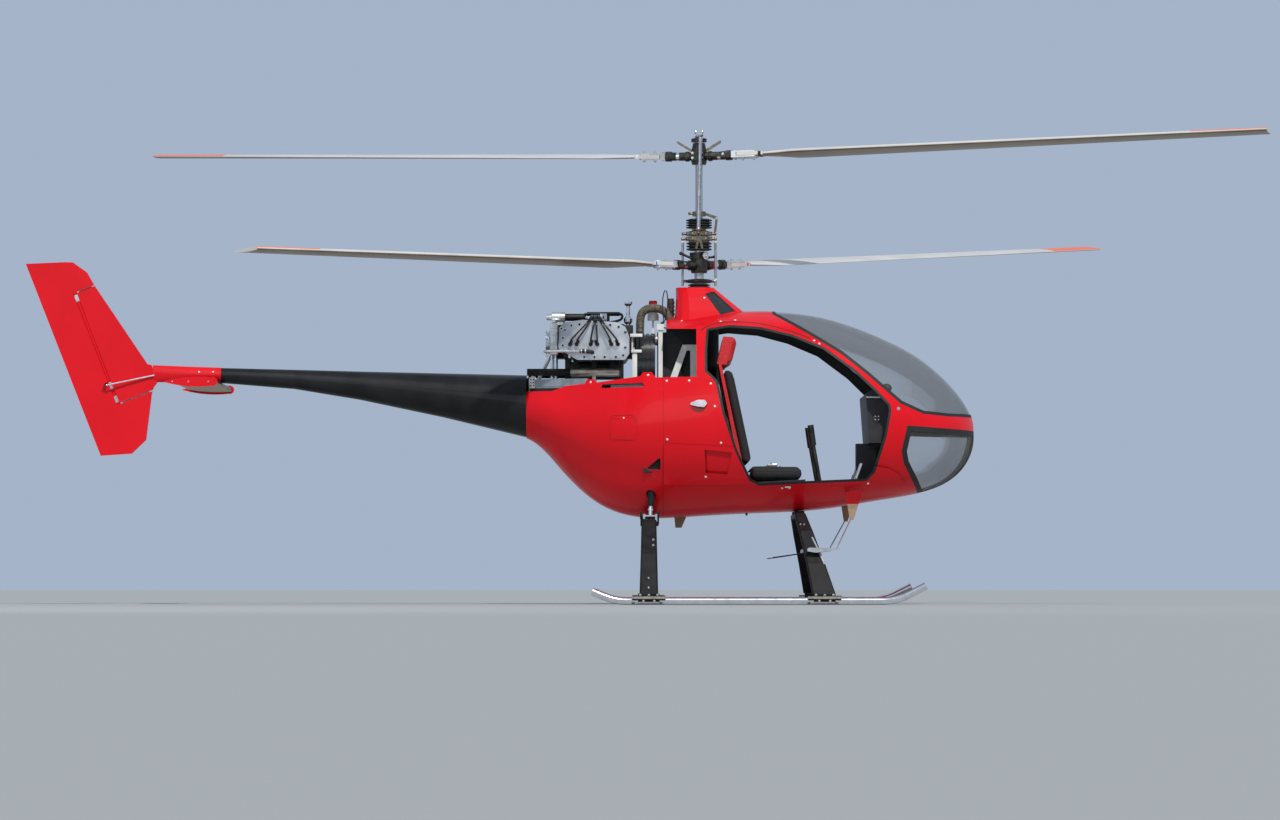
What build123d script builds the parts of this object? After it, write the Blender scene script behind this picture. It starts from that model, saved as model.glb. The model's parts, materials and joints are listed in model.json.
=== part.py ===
from build123d import *
from math import cos, hypot, radians, sin
import os

# A two-seat ultralight helicopter with two rotors on one mast, in millimetres.
# X points forward, Y to port and Z up. While the pieces are made, the mast axis is X = Y = 0 and the ground is Z = 0.
# At the end all of them are moved so that the origin is the centre of the footprint of the whole machine.

# General
FIT = 0.2                 # gap between pieces that are fixed to each other
RUNNING = 0.05            # radial clearance of a shaft in its bearing
WALL = 18                 # hull with its lining
SKIN = 6                  # thin fairings
GLASS = 5
GLASS_DEPTH = 3           # glass lies this far below the hull's surface
FAR = 2500                # beyond every piece

# Hull: where each station is, its lowest and highest point and its half width
HULL_STATIONS = [  # x, z_low, z_high, half_width
    (-980, 942, 1300, 170),
    (-780, 760, 1400, 314),
    (-560, 566, 1500, 464),
    (-360, 498, 1575, 577),
    (-20, 500, 1640, 688),
    (340, 519, 1660, 733),
    (700, 541, 1624, 719),
    (1000, 588, 1522, 647),
    (1240, 630, 1400, 520),
    (1400, 690, 1270, 383),
    (1505, 785, 1145, 235),
    (1556, 905, 1020, 82),
]
WIDEST_STATION = 6
WIDEST_AT = 0.42          # share of a station's height where it is widest
BELLY_SHARE = 0.55        # half width of the flat belly, as a share of the half width
ROOF_SHARE = 0.50
ROUNDING = (430, 480, 470)  # belly, side and roof radius of a full-size station
FULL_STATION = (680, 1100)  # half width and height of a full-size station
SEAM_X = -205             # seam between cabin shell and rear hull
SEAM = 0.8

# Outlines seen from the side, each a list of x, z
ENGINE_BAY = [(-1100, 1204), (-833, 1203), (-753, 1231), (-650, 1240), (-634, 1265), (-597, 1267), (-578, 1247),
              (-336, 1278), (-318, 1300), (-270, 1300), (-249, 1270), (-20, 1272), (-20, 1548), (-186, 1552),
              (-186, 1900), (-1100, 1900)]
WINDSCREEN = [(412, 1800), (412, 1634), (600, 1520), (788, 1403), (930, 1289), (1031, 1200), (1120, 1123),
              (1249, 1067), (1400, 1056), (1700, 1057), (1700, 1800)]
CHIN_WINDOW = [(1158, 1000), (1126, 856), (1140, 790), (1268, 560), (1700, 560), (1700, 979), (1559, 979)]
DOORWAY = [(37, 1550), (169, 1570), (344, 1557), (518, 1513), (695, 1440), (872, 1310), (990, 1196), (1062, 1118),
           (1068, 1083), (1043, 945), (1000, 807), (978, 737), (933, 690), (331, 663), (272, 690), (192, 854),
           (124, 1059), (84, 1243), (26, 1301), (26, 1420)]
LOWER_PANEL = [(SEAM_X, 898), (180, 876), (987, 772), (1060, 760), (1120, 725), (1150, 672), (SEAM_X, 668)]
STEP_RECESS = [(24, 862), (176, 846), (150, 726), (30, 735)]
RECESS_SLIT = [(24, 862), (36, 861), (40, 735), (30, 735)]
AIR_OUTLET = [(-222, 822), (-222, 752), (-304, 757)]
SKIN_SLOT = [(-556, 1214), (-316, 1218), (-316, 1240), (-545, 1236)]
HATCH = [(-506, 914), (-506, 1040), (-349, 1046), (-349, 914)]
HANDLE = [(-72, 1116), (-12, 1140), (24, 1139), (38, 1120), (22, 1098), (-12, 1102)]
DOORWAY_ROUND = 18
CHIN_STRIP = 70           # half width of the red strip between the chin windows
SCREEN_SEAL = 18          # widths of the black edging
CHIN_SEAL = 30
DOOR_SEAL = 14
PANEL_PROUD = 10          # how far the lower panel stands out
RECESS_DEPTH = 5          # measured from the hull's own surface, behind the panel's
SLIT_DEPTH = 13
HATCH_ROUND = 26
GROOVE = (2.5, 2)         # width and depth of the hatch's joint
HANDLE_HEIGHT = 14

# Mast fairing on the roof
FAIRING_STATIONS = [  # z, rear_x, front_x, half_width, corner
    (1560, -150, 322, 250, 90),
    (1655, -136, 252, 186, 80),
    (1740, -131, 150, 134, 70),
    (1796, -132, 84, 96, 60),
]
FAIRING_WINDOW = [(32, 1758), (82, 1773), (204, 1656), (120, 1634)]
PANE_DEPTH = (1.5, 4.5)
BREATHER = (-160, -34, 1735)  # x, y and top of the ribbed breather behind the fairing
BREATHER_R = 21

# Cabin
FLOOR_Z = 604
FLOOR_THICK = 12
FIREWALL_X = 10
FIREWALL_THICK = 12
TUNNEL_R = 112            # the firewall bulges forward round the gearbox
SEAT_Y = 245
SEAT_WIDTH = 400
SEAT_PAN_Z = 700
PAN_THICK = 40
CUSHION_THICK = 70
SEAT_FRONT_X = 590
SEAT_BACK = [(262, 682), (120, 1345)]  # front face of the leaning back, x, z
SEAT_LEGS = ((300, 330), (540, 570))
HEADREST_HALF = 120
DASH_X = (950, 1100)
DASH_Z = (905, 1180, 1225)
DASH_HALF = 430
DASH_GAP = 24             # between the dash and the cabin's lining
STICK_X = (690, 640, 625)
STICK_Z = (900, 1010)
LEVER_END = (462, 768)
PEDAL_X = 840
PEDAL_Y = (-285, -165, 165, 285)
DECK_Z = 1240
DECK_THICK = 8
DECK_REAR_X = -962

# Engine: a flat six lying along X
ENGINE_X = -595
ENGINE_Z = 1488
CRANKCASE = (440, 190, 190)
CYLINDER_PITCH = 116
CYLINDER_R = 50
BARREL_FIN = (4, 186)     # thickness and height
FIN_COUNT = 6
FIN_STEP = 21
HEAD_Y = 262
HEAD_THICK = 34
HEAD_OUTLINE = [(-790, 1556), (-766, 1586), (-658, 1602), (-470, 1588), (-418, 1562), (-396, 1505), (-396, 1412),
                (-420, 1376), (-690, 1376), (-796, 1440)]
HEAD_ROUND = 14
PLUG_STEP = 37            # between the two plugs of a cylinder
PLUG_Z = 1464
PLUG_R = 13
PULLEY_R = 70
MUFFLER_R = 28
TAILPIPE_R = 20
TAILPIPE_END_X = -974
MUFFLER_Z = 1310
MUFFLER_Y = 190
MUFFLER_X = (-715, -447)
STARTER = [(-866, 12), (-866, 16), (-838, 19), (-835, 31), (-762, 31), (-760, 21), (-655, 21)]  # x, radius
STARTER_Y = -60
STARTER_Z = 1627
DRUM_R = 128
DRUM_X = (-352, -250)
DRUM_Z = 1410
DRUM_GROOVES = (-332, -306, -280)
GROOVE_WIDE = 8
GROOVE_DEEP = 7
IGNITION_X = (-582, -508)
IGNITION_Z = 1640
AIR_HOSE = [(-336, -96, 1545.2), (-336, -96, 1610), (-294, -98, 1652), (-214, -100, 1654), (-150, -102, 1590)]
AIR_HOSE_R = 20
HOSE_BEND = 50
BOTTLE = (-262, -30, 1610)
BOTTLE_R = 32
FILLER = (-403, -40)

# Masts and gearbox
GEARBOX_R = 92
GEARBOX_Z = (1468, 1690)
BEARING_DEPTH = 60
INNER_MAST_R = 21
OUTER_MAST_R = 27
OUTER_MAST_BORE = 24
OUTER_MAST_Z = (1630, 2066)
INNER_MAST_Z = (1620, 2628)
LAND_LENGTH = 24          # length of each bearing land inside the outer mast
FRAME_OUTLINE = [(-180, DECK_Z + FIT), (6, DECK_Z + FIT), (6, GEARBOX_Z[0] - FIT), (-96, GEARBOX_Z[0] - FIT)]
FRAME_HOLE = [(-128, 1275), (-52, 1275), (-52, 1435), (-72, 1435)]
FRAME_Y = 150
FRAME_THICK = 10
POST = (-232, -208, -170, -150)  # x and y range of the white post beside the drum

# Rotors
ROTOR_RADIUS = 3250
UPPER_Z = 2546
LOWER_Z = 1924
UPPER_AZIMUTH = -14.8
LOWER_AZIMUTH = 42.7
UPPER_TILT = 0.1          # the front blade stands this much higher than the rotor's plane
LOWER_TILT = 2.5
UPPER_CONING = 1.3
LOWER_CONING = 1.7
PITCH = 8.5
TWIST = 5
GRIP_R = 24
GRIP_FROM = 50
GRIP_TO = 196
STRAP_TO = 348
STRAP_THICK = 9
STRAP_HALF = 28
ROOT_THICK = 20
BLADE_ROOT = 226
BLADE_STATIONS = [  # distance from the mast, chord, thickness
    (372, 64, 20),
    (470, 128, 24),
    (550, 190, 25),
    (600, 200, 24),
    (ROTOR_RADIUS, 200, 22),
]
CHORD_AHEAD = 0.28        # share of the chord ahead of the pitch axis
TRAILING_EDGE = 1.2       # half the thickness of a wing's or blade's trailing edge
HORN_PLAN = [(188, -19), (188, 19), (44, 6), (44, -6)]  # pitch horn along the grip: distance, height
HORN_Y = (34, 42)
ROD_TOP = (8, -58)        # control rod in front of the inner mast
ROD_FOOT = (-4, -92, 2128)
ROD_R = 11
SWASH_R = 75
EAR_REACH = 90
EAR_Z = 2105.8
RING_Z = (2066, 2088)     # turning ring of the lower rotor
LOW_RING_Z = (1826, 1846)
LINK_X = 94               # rods outside the lower hub
CROSSHEAD_Z = (2655, 2669)

# Tail
BOOM_STATIONS = [  # x, z_low, z_high, half_width
    (-980, 947, 1300, 160),
    (-1450, 1060, 1311, 114),
    (-1924, 1160, 1322, 78),
    (-2300, 1222, 1332, 54),
    (-2715, 1256, 1342, 42),
]
BOOM_WALL = 7
SLEEVE_END_X = -3105
FIN_THICK = 40
FIN_PLAN = [(-3040, 4), (-3120, 14), (-3300, 18), (-3480, 15), (-3840, 3)]  # x, half thickness
TAIL_OUTLINE = [(-3830, 1935), (-3609, 1944), (-3561, 1943), (-3480, 1885), (-3442, 1817), (-3136, 1364),
                (-3112, 1358), (-3078, 1261), (-3101, 1229), (-3110, 1197), (-3142, 933), (-3223, 855), (-3399, 843)]
HINGE_LOW = (-3302, 1140)
HINGE_HIGH = (-3549, 1764)
HINGE_SHARES = (0.04, 0.165, 0.96)  # places of the three hinges along the hinge line
HINGE_SIDE = 9            # fin and rudder end this far before and behind the hinge line
NOSE_R = 13               # the rudder's round nose
NOSE_GAP = 5
LUG_Z = (6, 7, 16)        # half height of the rudder's lug, then the range of the fin's two lugs
HINGE_PIN_R = 4
TIP_GAP = 7               # between the fin and the rudder's horns above and below it
ROD_HORN = (60, 20, 25)   # reach and height range of the horn that the pushrod meets
STABILIZER_X = (-2946, -2700)
STABILIZER_Z = 1241
STABILIZER_THICK = 30
STABILIZER_HALF = 600
CAP_X = (-2990, -2690)
CAP_HEIGHT = 56
CAP_THICK = 18

# Landing gear
SKID_Y = 800
SKID_R = 21
SKID_PATH = [(-600, 52), (-475, 0), (1080, 0), (1245, 82)]  # x, height above the straight run
SKID_BEND = 320
REAR_LEG = [  # x, y, z, width along X, thickness
    (-287, 250, 476, 80, 34),
    (-286, 455, 462, 84, 34),
    (-286, 640, 270, 92, 32),
    (-287, 790, 46, 104, 30),
]
FRONT_LEG = [
    (562, 0, 500, 62, 30),
    (562, 400, 500, 62, 30),
    (590, 560, 400, 78, 30),
    (640, 690, 220, 104, 30),
    (684, 790, 46, 130, 30),
]
LEG_HOLES = (95, 150)     # heights of the two holes low in each rear leg
LEG_HOLE_R = 6
SHOE_LENGTH = 120
SHOE_WALL = 9
SHOE_TOP = 60
BAR_HALF = (92, 11)       # half length and half height of the bar beside each shoe
BAR_THICK = 8
PIN_R = 8
PIN_LENGTH = 34
PIN_X = 76
PIN_Z = SKID_R + 18
STRUT_FOOT = (-277, 415, 496)
STRUT_HEAD = (-273, 395, 640)
STRUT_R = 20
STRUT_ROD_R = 11
STEP_OUTLINE = [(592, 296), (594, 312), (604, 316), (770, 313), (776, 306), (640, 288)]
STEP_Y = (592, 700)
STAY_R = 4
STAY = [(757, 640, 309), (848, 430, 486)]
STAY_BRACKET = [(812, 640), (912, 640), (860, 474), (838, 474)]
BELLY_AERIAL = [(-146, 540), (-54, 540), (-100, 434), (-135, 434)]


# Shared forms

def side_face(points, radius=0.0):
    """A flat outline in the plane of symmetry, from a list of x, z."""
    if radius:
        wire = FilletPolyline(*points, radius=radius, close=True)
    else:
        wire = Polyline(*points, close=True)
    return Plane.XZ * make_face(wire)


def across(face, half=900.0):
    """The outline carried across the whole machine."""
    return extrude(face, amount=half, both=True)


def slab(low, high):
    """A block between two corners."""
    size = [b - a for a, b in zip(low, high)]
    centre = [(a + b) / 2 for a, b in zip(low, high)]
    return Pos(*centre) * Box(*size)


def rod(start, end, radius):
    """A round bar between two points."""
    start, end = Vector(*start), Vector(*end)
    plane = Plane(origin=start, z_dir=end - start)
    return plane * Cylinder(radius, (end - start).length, align=(Align.CENTER, Align.CENTER, Align.MIN))


def turned(profile):
    """A body turned about the mast axis from a list of radius, z."""
    return revolve(Plane.XZ * make_face(Polyline(*profile, close=True)), Axis.Z)


def spun(profile, y, z):
    """A body turned about a line along X from a list of x, radius."""
    ends = [(profile[0][0], 0), *profile, (profile[-1][0], 0)]
    return Pos(0, y, z) * revolve(Plane.XZ * make_face(Polyline(*ends, close=True)), Axis.X)


def ball(centre, radius):
    return Pos(*centre) * Sphere(radius)


def both_sides(piece):
    return piece + mirror(piece, about=Plane.XZ)


def oval(x, z_low, z_high, half, inset):
    """One egg-shaped section, square to X."""
    z0, z1, w = z_low + inset, z_high - inset, half - inset
    scale = min(w / FULL_STATION[0], (z1 - z0) / FULL_STATION[1])
    belly, side, roof = [r * scale for r in ROUNDING]
    z_wide = z0 + WIDEST_AT * (z1 - z0)
    b, t = BELLY_SHARE * w, ROOF_SHARE * w
    corners = [(b, z0), (w, z_wide), (t, z1), (-t, z1), (-w, z_wide), (-b, z0)]
    wire = FilletPolyline(*corners, radius=[belly, side, roof, roof, side, belly], close=True)
    return Plane(origin=(x, 0, 0), x_dir=(0, 1, 0), z_dir=(1, 0, 0)) * make_face(wire)


def hull_body(inset=0.0):
    """The hull's outer form, made smaller all round by inset; only its nose moves along X."""
    nose_x, wide_x = HULL_STATIONS[-1][0], HULL_STATIONS[WIDEST_STATION][0]
    faces = []
    for x, z0, z1, w in HULL_STATIONS:
        share = max(0.0, (x - wide_x) / (nose_x - wide_x))
        faces.append(oval(x - inset * share**2, z0, z1, w, inset))
    return loft(faces)


CAVITY = hull_body(WALL)
LINING = hull_body(WALL + FIT)
OUTER = hull_body() + (hull_body(-PANEL_PROUD) & across(side_face(LOWER_PANEL)))
SHELL = OUTER - CAVITY
GLAZING = hull_body(GLASS_DEPTH) - hull_body(GLASS_DEPTH + GLASS)
OUTSIDE = hull_body(-FIT)  # pieces that seat on the hull from outside are cut back to this


# Hull

def window_cut(points, inset, strip):
    """A window's outline carried across, smaller by inset and without the middle strip."""
    face = make_face(Polyline(*points, close=True))
    if inset:
        face = offset(face, amount=-inset, kind=Kind.INTERSECTION)
    tool = across(Plane.XZ * face)
    return tool - slab((-FAR, -strip - inset, 0), (FAR, strip + inset, FAR)) if strip else tool


def make_cabin_shell():
    shell = SHELL - slab((-FAR, -900, 0), (SEAM_X + SEAM / 2, 900, FAR))
    shell -= across(side_face(ENGINE_BAY))
    shell -= window_cut(WINDSCREEN, 0, 0)
    shell -= window_cut(CHIN_WINDOW, 0, CHIN_STRIP)
    shell -= across(side_face(DOORWAY, DOORWAY_ROUND))
    shell -= across(side_face(STEP_RECESS)) - hull_body(RECESS_DEPTH)
    shell -= across(side_face(RECESS_SLIT)) - hull_body(SLIT_DEPTH)
    return shell - Pos(0, 0, 1600) * Cylinder(GEARBOX_R + 12, 400)


def make_rear_hull():
    shell = SHELL - slab((SEAM_X - SEAM / 2, -900, 0), (FAR, 900, FAR))
    shell -= across(side_face(ENGINE_BAY))
    shell -= across(side_face(AIR_OUTLET, 6))
    shell -= across(side_face(SKIN_SLOT, 7))
    width, depth = GROOVE
    outline = FilletPolyline(*HATCH, radius=HATCH_ROUND, close=True)
    joint = across(Plane.XZ * make_face(outline)) - across(Plane.XZ * offset(make_face(outline), amount=-width))
    shell -= joint - hull_body(depth)
    return shell - both_sides(strut_bar(STRUT_R + 8))


def make_side_handles():
    """Teardrop handle on each side, following the hull's surface."""
    return (hull_body(-HANDLE_HEIGHT) - OUTSIDE) & across(side_face(HANDLE, 7))


def make_window_seals():
    """Black edging between the hull and the glass."""
    screen = window_cut(WINDSCREEN, FIT, 0) - window_cut(WINDSCREEN, SCREEN_SEAL, 0)
    chin = window_cut(CHIN_WINDOW, FIT, CHIN_STRIP) - window_cut(CHIN_WINDOW, CHIN_SEAL, CHIN_STRIP)
    return (SHELL & screen) + (SHELL & chin)


def make_door_seals():
    outline = make_face(FilletPolyline(*DOORWAY, radius=DOORWAY_ROUND, close=True))
    outer = Plane.XZ * offset(outline, amount=-FIT)
    inner = Plane.XZ * offset(outline, amount=-DOOR_SEAL)
    return SHELL & (across(outer) - across(inner))


def make_windscreen():
    return GLAZING & window_cut(WINDSCREEN, SCREEN_SEAL + FIT, 0)


def make_chin_windows():
    return GLAZING & window_cut(CHIN_WINDOW, CHIN_SEAL + FIT, CHIN_STRIP)


def fairing_form(inset):
    """The fairing's outer form smaller by inset, each corner made of three flats."""
    faces = []
    for z, rear, front, half, corner in FAIRING_STATIONS:
        x0, x1, y = rear + corner, front - corner, half - corner
        points = []
        for first, centre_x, centre_y in ((0, x1, y), (90, x0, y), (180, x0, -y), (270, x1, -y)):
            for step in (0, 30, 60, 90):
                angle = radians(first + step)
                reach = corner - inset
                points.append((centre_x + reach * cos(angle), centre_y + reach * sin(angle)))
        faces.append(Pos(0, 0, z) * make_face(Polyline(*points, close=True)))
    return loft(faces, ruled=True)


def make_mast_fairing():
    """Cap on the roof round the foot of the masts, hollow and open below."""
    cap = fairing_form(0) - Pos(0, 0, -SKIN) * fairing_form(SKIN)
    cap -= Pos(0, 0, FAIRING_STATIONS[-1][0]) * Cylinder(OUTER_MAST_R + 8, 60)
    cap -= across(side_face(FAIRING_WINDOW))
    return cap - OUTSIDE


def make_fairing_windows():
    near, deep = PANE_DEPTH
    opening = across(Plane.XZ * offset(make_face(Polyline(*FAIRING_WINDOW, close=True)), amount=-FIT))
    return ((fairing_form(near) - fairing_form(deep)) & opening) - OUTSIDE


def make_breather():
    """Ribbed canister that stands on the roof behind the fairing."""
    x, y, top = BREATHER
    canister = rod((x, y, 1560), (x, y, top), BREATHER_R - 4)
    for z in range(1640, int(top) - 12, 22):
        canister += rod((x, y, z), (x, y, z + 12), BREATHER_R)
    return canister - OUTSIDE


# Cabin

def make_cabin_floor():
    sheet = slab((FIREWALL_X + FIREWALL_THICK + FIT, -800, FLOOR_Z - FLOOR_THICK), (1500, 800, FLOOR_Z))
    return LINING & sheet


def make_firewall():
    wall = slab((FIREWALL_X, -800, 300), (FIREWALL_X + FIREWALL_THICK, 800, 1900))
    high = Pos(0, 0, 1500) * Cylinder(TUNNEL_R, 1200)
    low = Pos(0, 0, 1500) * Cylinder(TUNNEL_R - FIREWALL_THICK, 1200)
    bulge = high - slab((-500, -800, 0), (FIREWALL_X, 800, FAR))
    return ((wall + bulge) - low) & LINING


def make_engine_deck():
    return LINING & slab((DECK_REAR_X, -800, DECK_Z - DECK_THICK), (FIREWALL_X - FIT, 800, DECK_Z))


def seat_place(side):
    return Pos(0, side * SEAT_Y, 0)


def seat_front_x(z):
    """Front face of the leaning back at height z."""
    (x0, z0), (x1, z1) = SEAT_BACK
    return x0 + (x1 - x0) * (z - z0) / (z1 - z0)


def make_seat_shells():
    """Pan, leaning back and head rest of each seat, joined by the shell's own bends."""
    shells = Part()
    low = SEAT_PAN_Z - PAN_THICK
    inner = SEAT_WIDTH / 2 - 30
    for side in (-1, 1):
        outline = [(SEAT_FRONT_X, low), (SEAT_FRONT_X, SEAT_PAN_Z), *SEAT_BACK, (104, 1345), (240, low)]
        shell = extrude(side_face(outline), amount=SEAT_WIDTH / 2, both=True)
        rest = side_face([(96, 1350), (150, 1345), (186, 1500), (132, 1505)])
        shell += extrude(rest, amount=HEADREST_HALF, both=True)
        shell += rod((112, -60, 1330), (125, -60, 1360), 8) + rod((112, 60, 1330), (125, 60, 1360), 8)
        for x0, x1 in SEAT_LEGS:
            shell += slab((x0, -inner, FLOOR_Z + FIT), (x1, inner, SEAT_PAN_Z - PAN_THICK / 2))
        shells += seat_place(side) * shell
    return shells & LINING


def make_seat_cushions():
    cushions = Part()
    half = SEAT_WIDTH / 2 - 15
    for side in (-1, 1):
        pad = slab((272, -half, SEAT_PAN_Z + FIT), (SEAT_FRONT_X - 4, half, SEAT_PAN_Z + CUSHION_THICK))
        cushions += seat_place(side) * fillet(pad.edges().filter_by(Axis.Z), 40)
    return cushions


def make_seat_backs():
    backs = Part()
    low, high = SEAT_PAN_Z + CUSHION_THICK + 8, 1324
    for side in (-1, 1):
        outline = [(seat_front_x(low) + FIT, low), (seat_front_x(low) + 50, low), (seat_front_x(high) + 44, high),
                   (seat_front_x(high) + FIT, high)]
        backs += seat_place(side) * extrude(side_face(outline), amount=SEAT_WIDTH / 2 - 15, both=True)
    return backs & LINING


def make_dash_console():
    (x0, x1), (low, edge, top) = DASH_X, DASH_Z
    outline = [(x0, low), (x0 - 20, edge), (x0 + 40, top), (x1, edge - 30), (x1, low)]
    panel = extrude(side_face(outline), amount=DASH_HALF, both=True)
    pedestal = slab((x0 - 60, -70, FLOOR_Z + FIT), (x0 + 50, 70, low + 5))
    return (panel & hull_body(WALL + DASH_GAP)) + (pedestal & LINING)


def make_flight_controls():
    """A stick in front of each seat and a lever beside each seat."""
    controls = Part()
    foot_x, knee_x, top_x = STICK_X
    knee_z, top_z = STICK_Z
    end_x, end_z = LEVER_END
    for side in (-1, 1):
        y = side * SEAT_Y
        controls += rod((foot_x, y, FLOOR_Z + 12), (knee_x, y, knee_z), 11)
        controls += rod((knee_x + 1, y, knee_z - 5), (top_x, y, top_z), 17)
        controls += Pos(foot_x, y, FLOOR_Z + FIT + 12) * Cylinder(30, 24)
        lever_y = y + SEAT_WIDTH / 2 + 18 if side < 0 else y - SEAT_WIDTH / 2 - 18
        controls += rod((255, lever_y, FLOOR_Z + 34), (end_x, lever_y, end_z), 10)
        controls += rod((end_x - 70, lever_y, end_z - 44), (end_x + 6, lever_y, end_z + 4), 15)
        controls += slab((225, lever_y - 14, FLOOR_Z + FIT), (285, lever_y + 14, FLOOR_Z + 44))
    return controls


def make_pedals():
    pedals = Part()
    x = PEDAL_X
    for y in PEDAL_Y:
        arm = rod((x, y, FLOOR_Z + 10), (x + 50, y, 740), 8)
        plate = Pos(x + 54, y, 750) * Rot(0, 20, 0) * Box(10, 60, 90)
        foot = slab((x - 20, y - 16, FLOOR_Z + FIT), (x + 20, y + 16, FLOOR_Z + 22))
        pedals += arm + plate + foot
    return pedals & LINING


# Engine bay

def make_engine_block():
    """Crankcase with six finned barrels, mounts, rear pulley and the ignition housing on top."""
    length, width, height = CRANKCASE
    case = Pos(ENGINE_X, 0, ENGINE_Z) * Box(length, width, height)
    block = chamfer(case.edges().filter_by(Axis.X), 36)
    thick, tall = BARREL_FIN
    for k in (-1, 0, 1):
        x = ENGINE_X + k * CYLINDER_PITCH
        block += rod((x, -HEAD_Y, ENGINE_Z), (x, HEAD_Y, ENGINE_Z), CYLINDER_R)
    for side in (-1, 1):
        for n in range(FIN_COUNT):
            y = side * (width / 2 + 22 + n * FIN_STEP)
            block += Pos(ENGINE_X, y, ENGINE_Z) * Box(3 * CYLINDER_PITCH - 6, thick, tall)
    for x in (ENGINE_X - 150, ENGINE_X + 150):
        for y in (-70, 70):
            block += slab((x - 16, y - 16, DECK_Z + FIT), (x + 16, y + 16, ENGINE_Z - height / 2 + 30))
    rear = ENGINE_X - length / 2
    pulley = [(rear - 56, PULLEY_R), (rear - 51, PULLEY_R), (rear - 47, PULLEY_R - 12), (rear - 43, PULLEY_R - 12),
              (rear - 39, PULLEY_R), (rear - 34, PULLEY_R), (rear - 34, 34), (rear + 1, 34)]
    block += spun(pulley, 0, ENGINE_Z)
    x0, x1 = IGNITION_X
    block += slab((x0, -52, ENGINE_Z + height / 2 - 1), (x1, 28, IGNITION_Z))
    for y in (-40, -8):
        block += rod((x0 - 56, y, IGNITION_Z + 8), (x1 + 58, y, IGNITION_Z + 8), 11)
    return block


def make_cylinder_heads():
    """One cast head along each bank, with two plug bosses and two ribs for each cylinder."""
    heads = Part()
    for side in (-1, 1):
        y0 = side * (HEAD_Y + FIT)
        y1 = side * (HEAD_Y + HEAD_THICK)
        plate = extrude(side_face(HEAD_OUTLINE, HEAD_ROUND), amount=(HEAD_THICK - FIT) / 2, both=True)
        head = Pos(0, (y0 + y1) / 2, 0) * plate
        for k in (-1, 0, 1):
            x = ENGINE_X + k * CYLINDER_PITCH
            for plug_x in (x - PLUG_STEP / 2, x + PLUG_STEP / 2):
                head += rod((plug_x, y1 - side, PLUG_Z), (plug_x, y1 + side * 7, PLUG_Z), PLUG_R)
            for rib_x in (x - 22, x + 22):
                low, high = sorted((y1 - side, y1 + side * 5))
                head += slab((rib_x - 6, low, 1386), (rib_x + 6, high, 1436))
        heads += head
    return heads


def make_exhausts():
    pipes = Part()
    fins_low = ENGINE_Z - BARREL_FIN[1] / 2
    x0, x1 = MUFFLER_X
    profile = [(TAILPIPE_END_X, TAILPIPE_R), (x0 - 14, TAILPIPE_R), (x0, MUFFLER_R), (x1 - 8, MUFFLER_R), (x1, 18)]
    for side in (-1, 1):
        y = side * MUFFLER_Y
        pipe = spun(profile, y, MUFFLER_Z)
        for k in (-1, 0, 1):
            x = ENGINE_X + k * CYLINDER_PITCH * 0.9
            pipe += slab((x - 14, y - 14, MUFFLER_Z), (x + 14, y + 14, fins_low - FIT))
        pipes += pipe + slab((ENGINE_X - 10, y - 20, DECK_Z + FIT), (ENGINE_X + 10, y + 20, MUFFLER_Z))
    return pipes


def make_starter_motor():
    case_top = ENGINE_Z + CRANKCASE[2] / 2
    y = STARTER_Y
    return spun(STARTER, y, STARTER_Z) + slab((-806, y - 16, case_top + FIT), (-772, y + 16, STARTER_Z))


def make_drive_drum():
    """Grooved clutch drum on the engine's front end, with the seat of the air hose."""
    x0, x1 = DRUM_X
    profile = [(x0, DRUM_R)]
    for x in DRUM_GROOVES:
        profile += [(x - GROOVE_WIDE / 2, DRUM_R), (x - GROOVE_WIDE / 2, DRUM_R - GROOVE_DEEP)]
        profile += [(x + GROOVE_WIDE / 2, DRUM_R - GROOVE_DEEP), (x + GROOVE_WIDE / 2, DRUM_R)]
    profile += [(x1, DRUM_R)]
    drum = spun(profile, 0, DRUM_Z)
    drum += rod((x0 + 1, 0, ENGINE_Z), (ENGINE_X + CRANKCASE[0] / 2 + FIT, 0, ENGINE_Z), 30)
    drum += slab((x0 + 20, -60, DECK_Z + FIT), (x1 - 20, 60, DRUM_Z))
    hose_x, hose_y, hose_z = AIR_HOSE[0]
    return drum + slab((hose_x - 15, hose_y - 22, DRUM_Z), (hose_x + 22, hose_y + 22, hose_z - FIT))


def make_gearbox():
    low, high = GEARBOX_Z
    box = turned([(0, low), (GEARBOX_R - 14, low), (GEARBOX_R, low + 14), (GEARBOX_R, 1600), (66, 1622), (66, high),
                  (0, high)])
    box += rod((-70, 0, 1500), (DRUM_X[1] + FIT, 0, 1500), 30)
    return box - rod((0, 0, OUTER_MAST_Z[0] - BEARING_DEPTH), (0, 0, 1800), OUTER_MAST_R + RUNNING)


def make_mast_frame():
    """White side plates that carry the gearbox on the deck, and the post beside the drum."""
    plate = side_face(FRAME_OUTLINE) - side_face(FRAME_HOLE)
    top = FRAME_OUTLINE[2][1]
    frame = slab((-90, -FRAME_Y, top - 18), (5, FRAME_Y, top))
    frame += slab((-66, -88, top - 18), (30, 88, top))
    for side in (-1, 1):
        frame += Pos(0, side * FRAME_Y, 0) * extrude(plate, amount=FRAME_THICK / 2, both=True)
    x0, x1, y0, y1 = POST
    frame += slab((x0, y0, DECK_Z + FIT), (x1, y1, 1552)) + slab((x0 - 8, y0 - 8, 1550), (x1 + 6, y1 + 8, 1584))
    return frame


def make_air_hose():
    path = FilletPolyline(*AIR_HOSE, radius=HOSE_BEND)
    section = Plane(origin=path @ 0, z_dir=path % 0) * Circle(AIR_HOSE_R)
    roof = OUTSIDE & slab((ENGINE_BAY[-3][0] - 20, -300, 1480), (0, 0, 1700))
    return sweep(section, path=path) - roof


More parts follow.
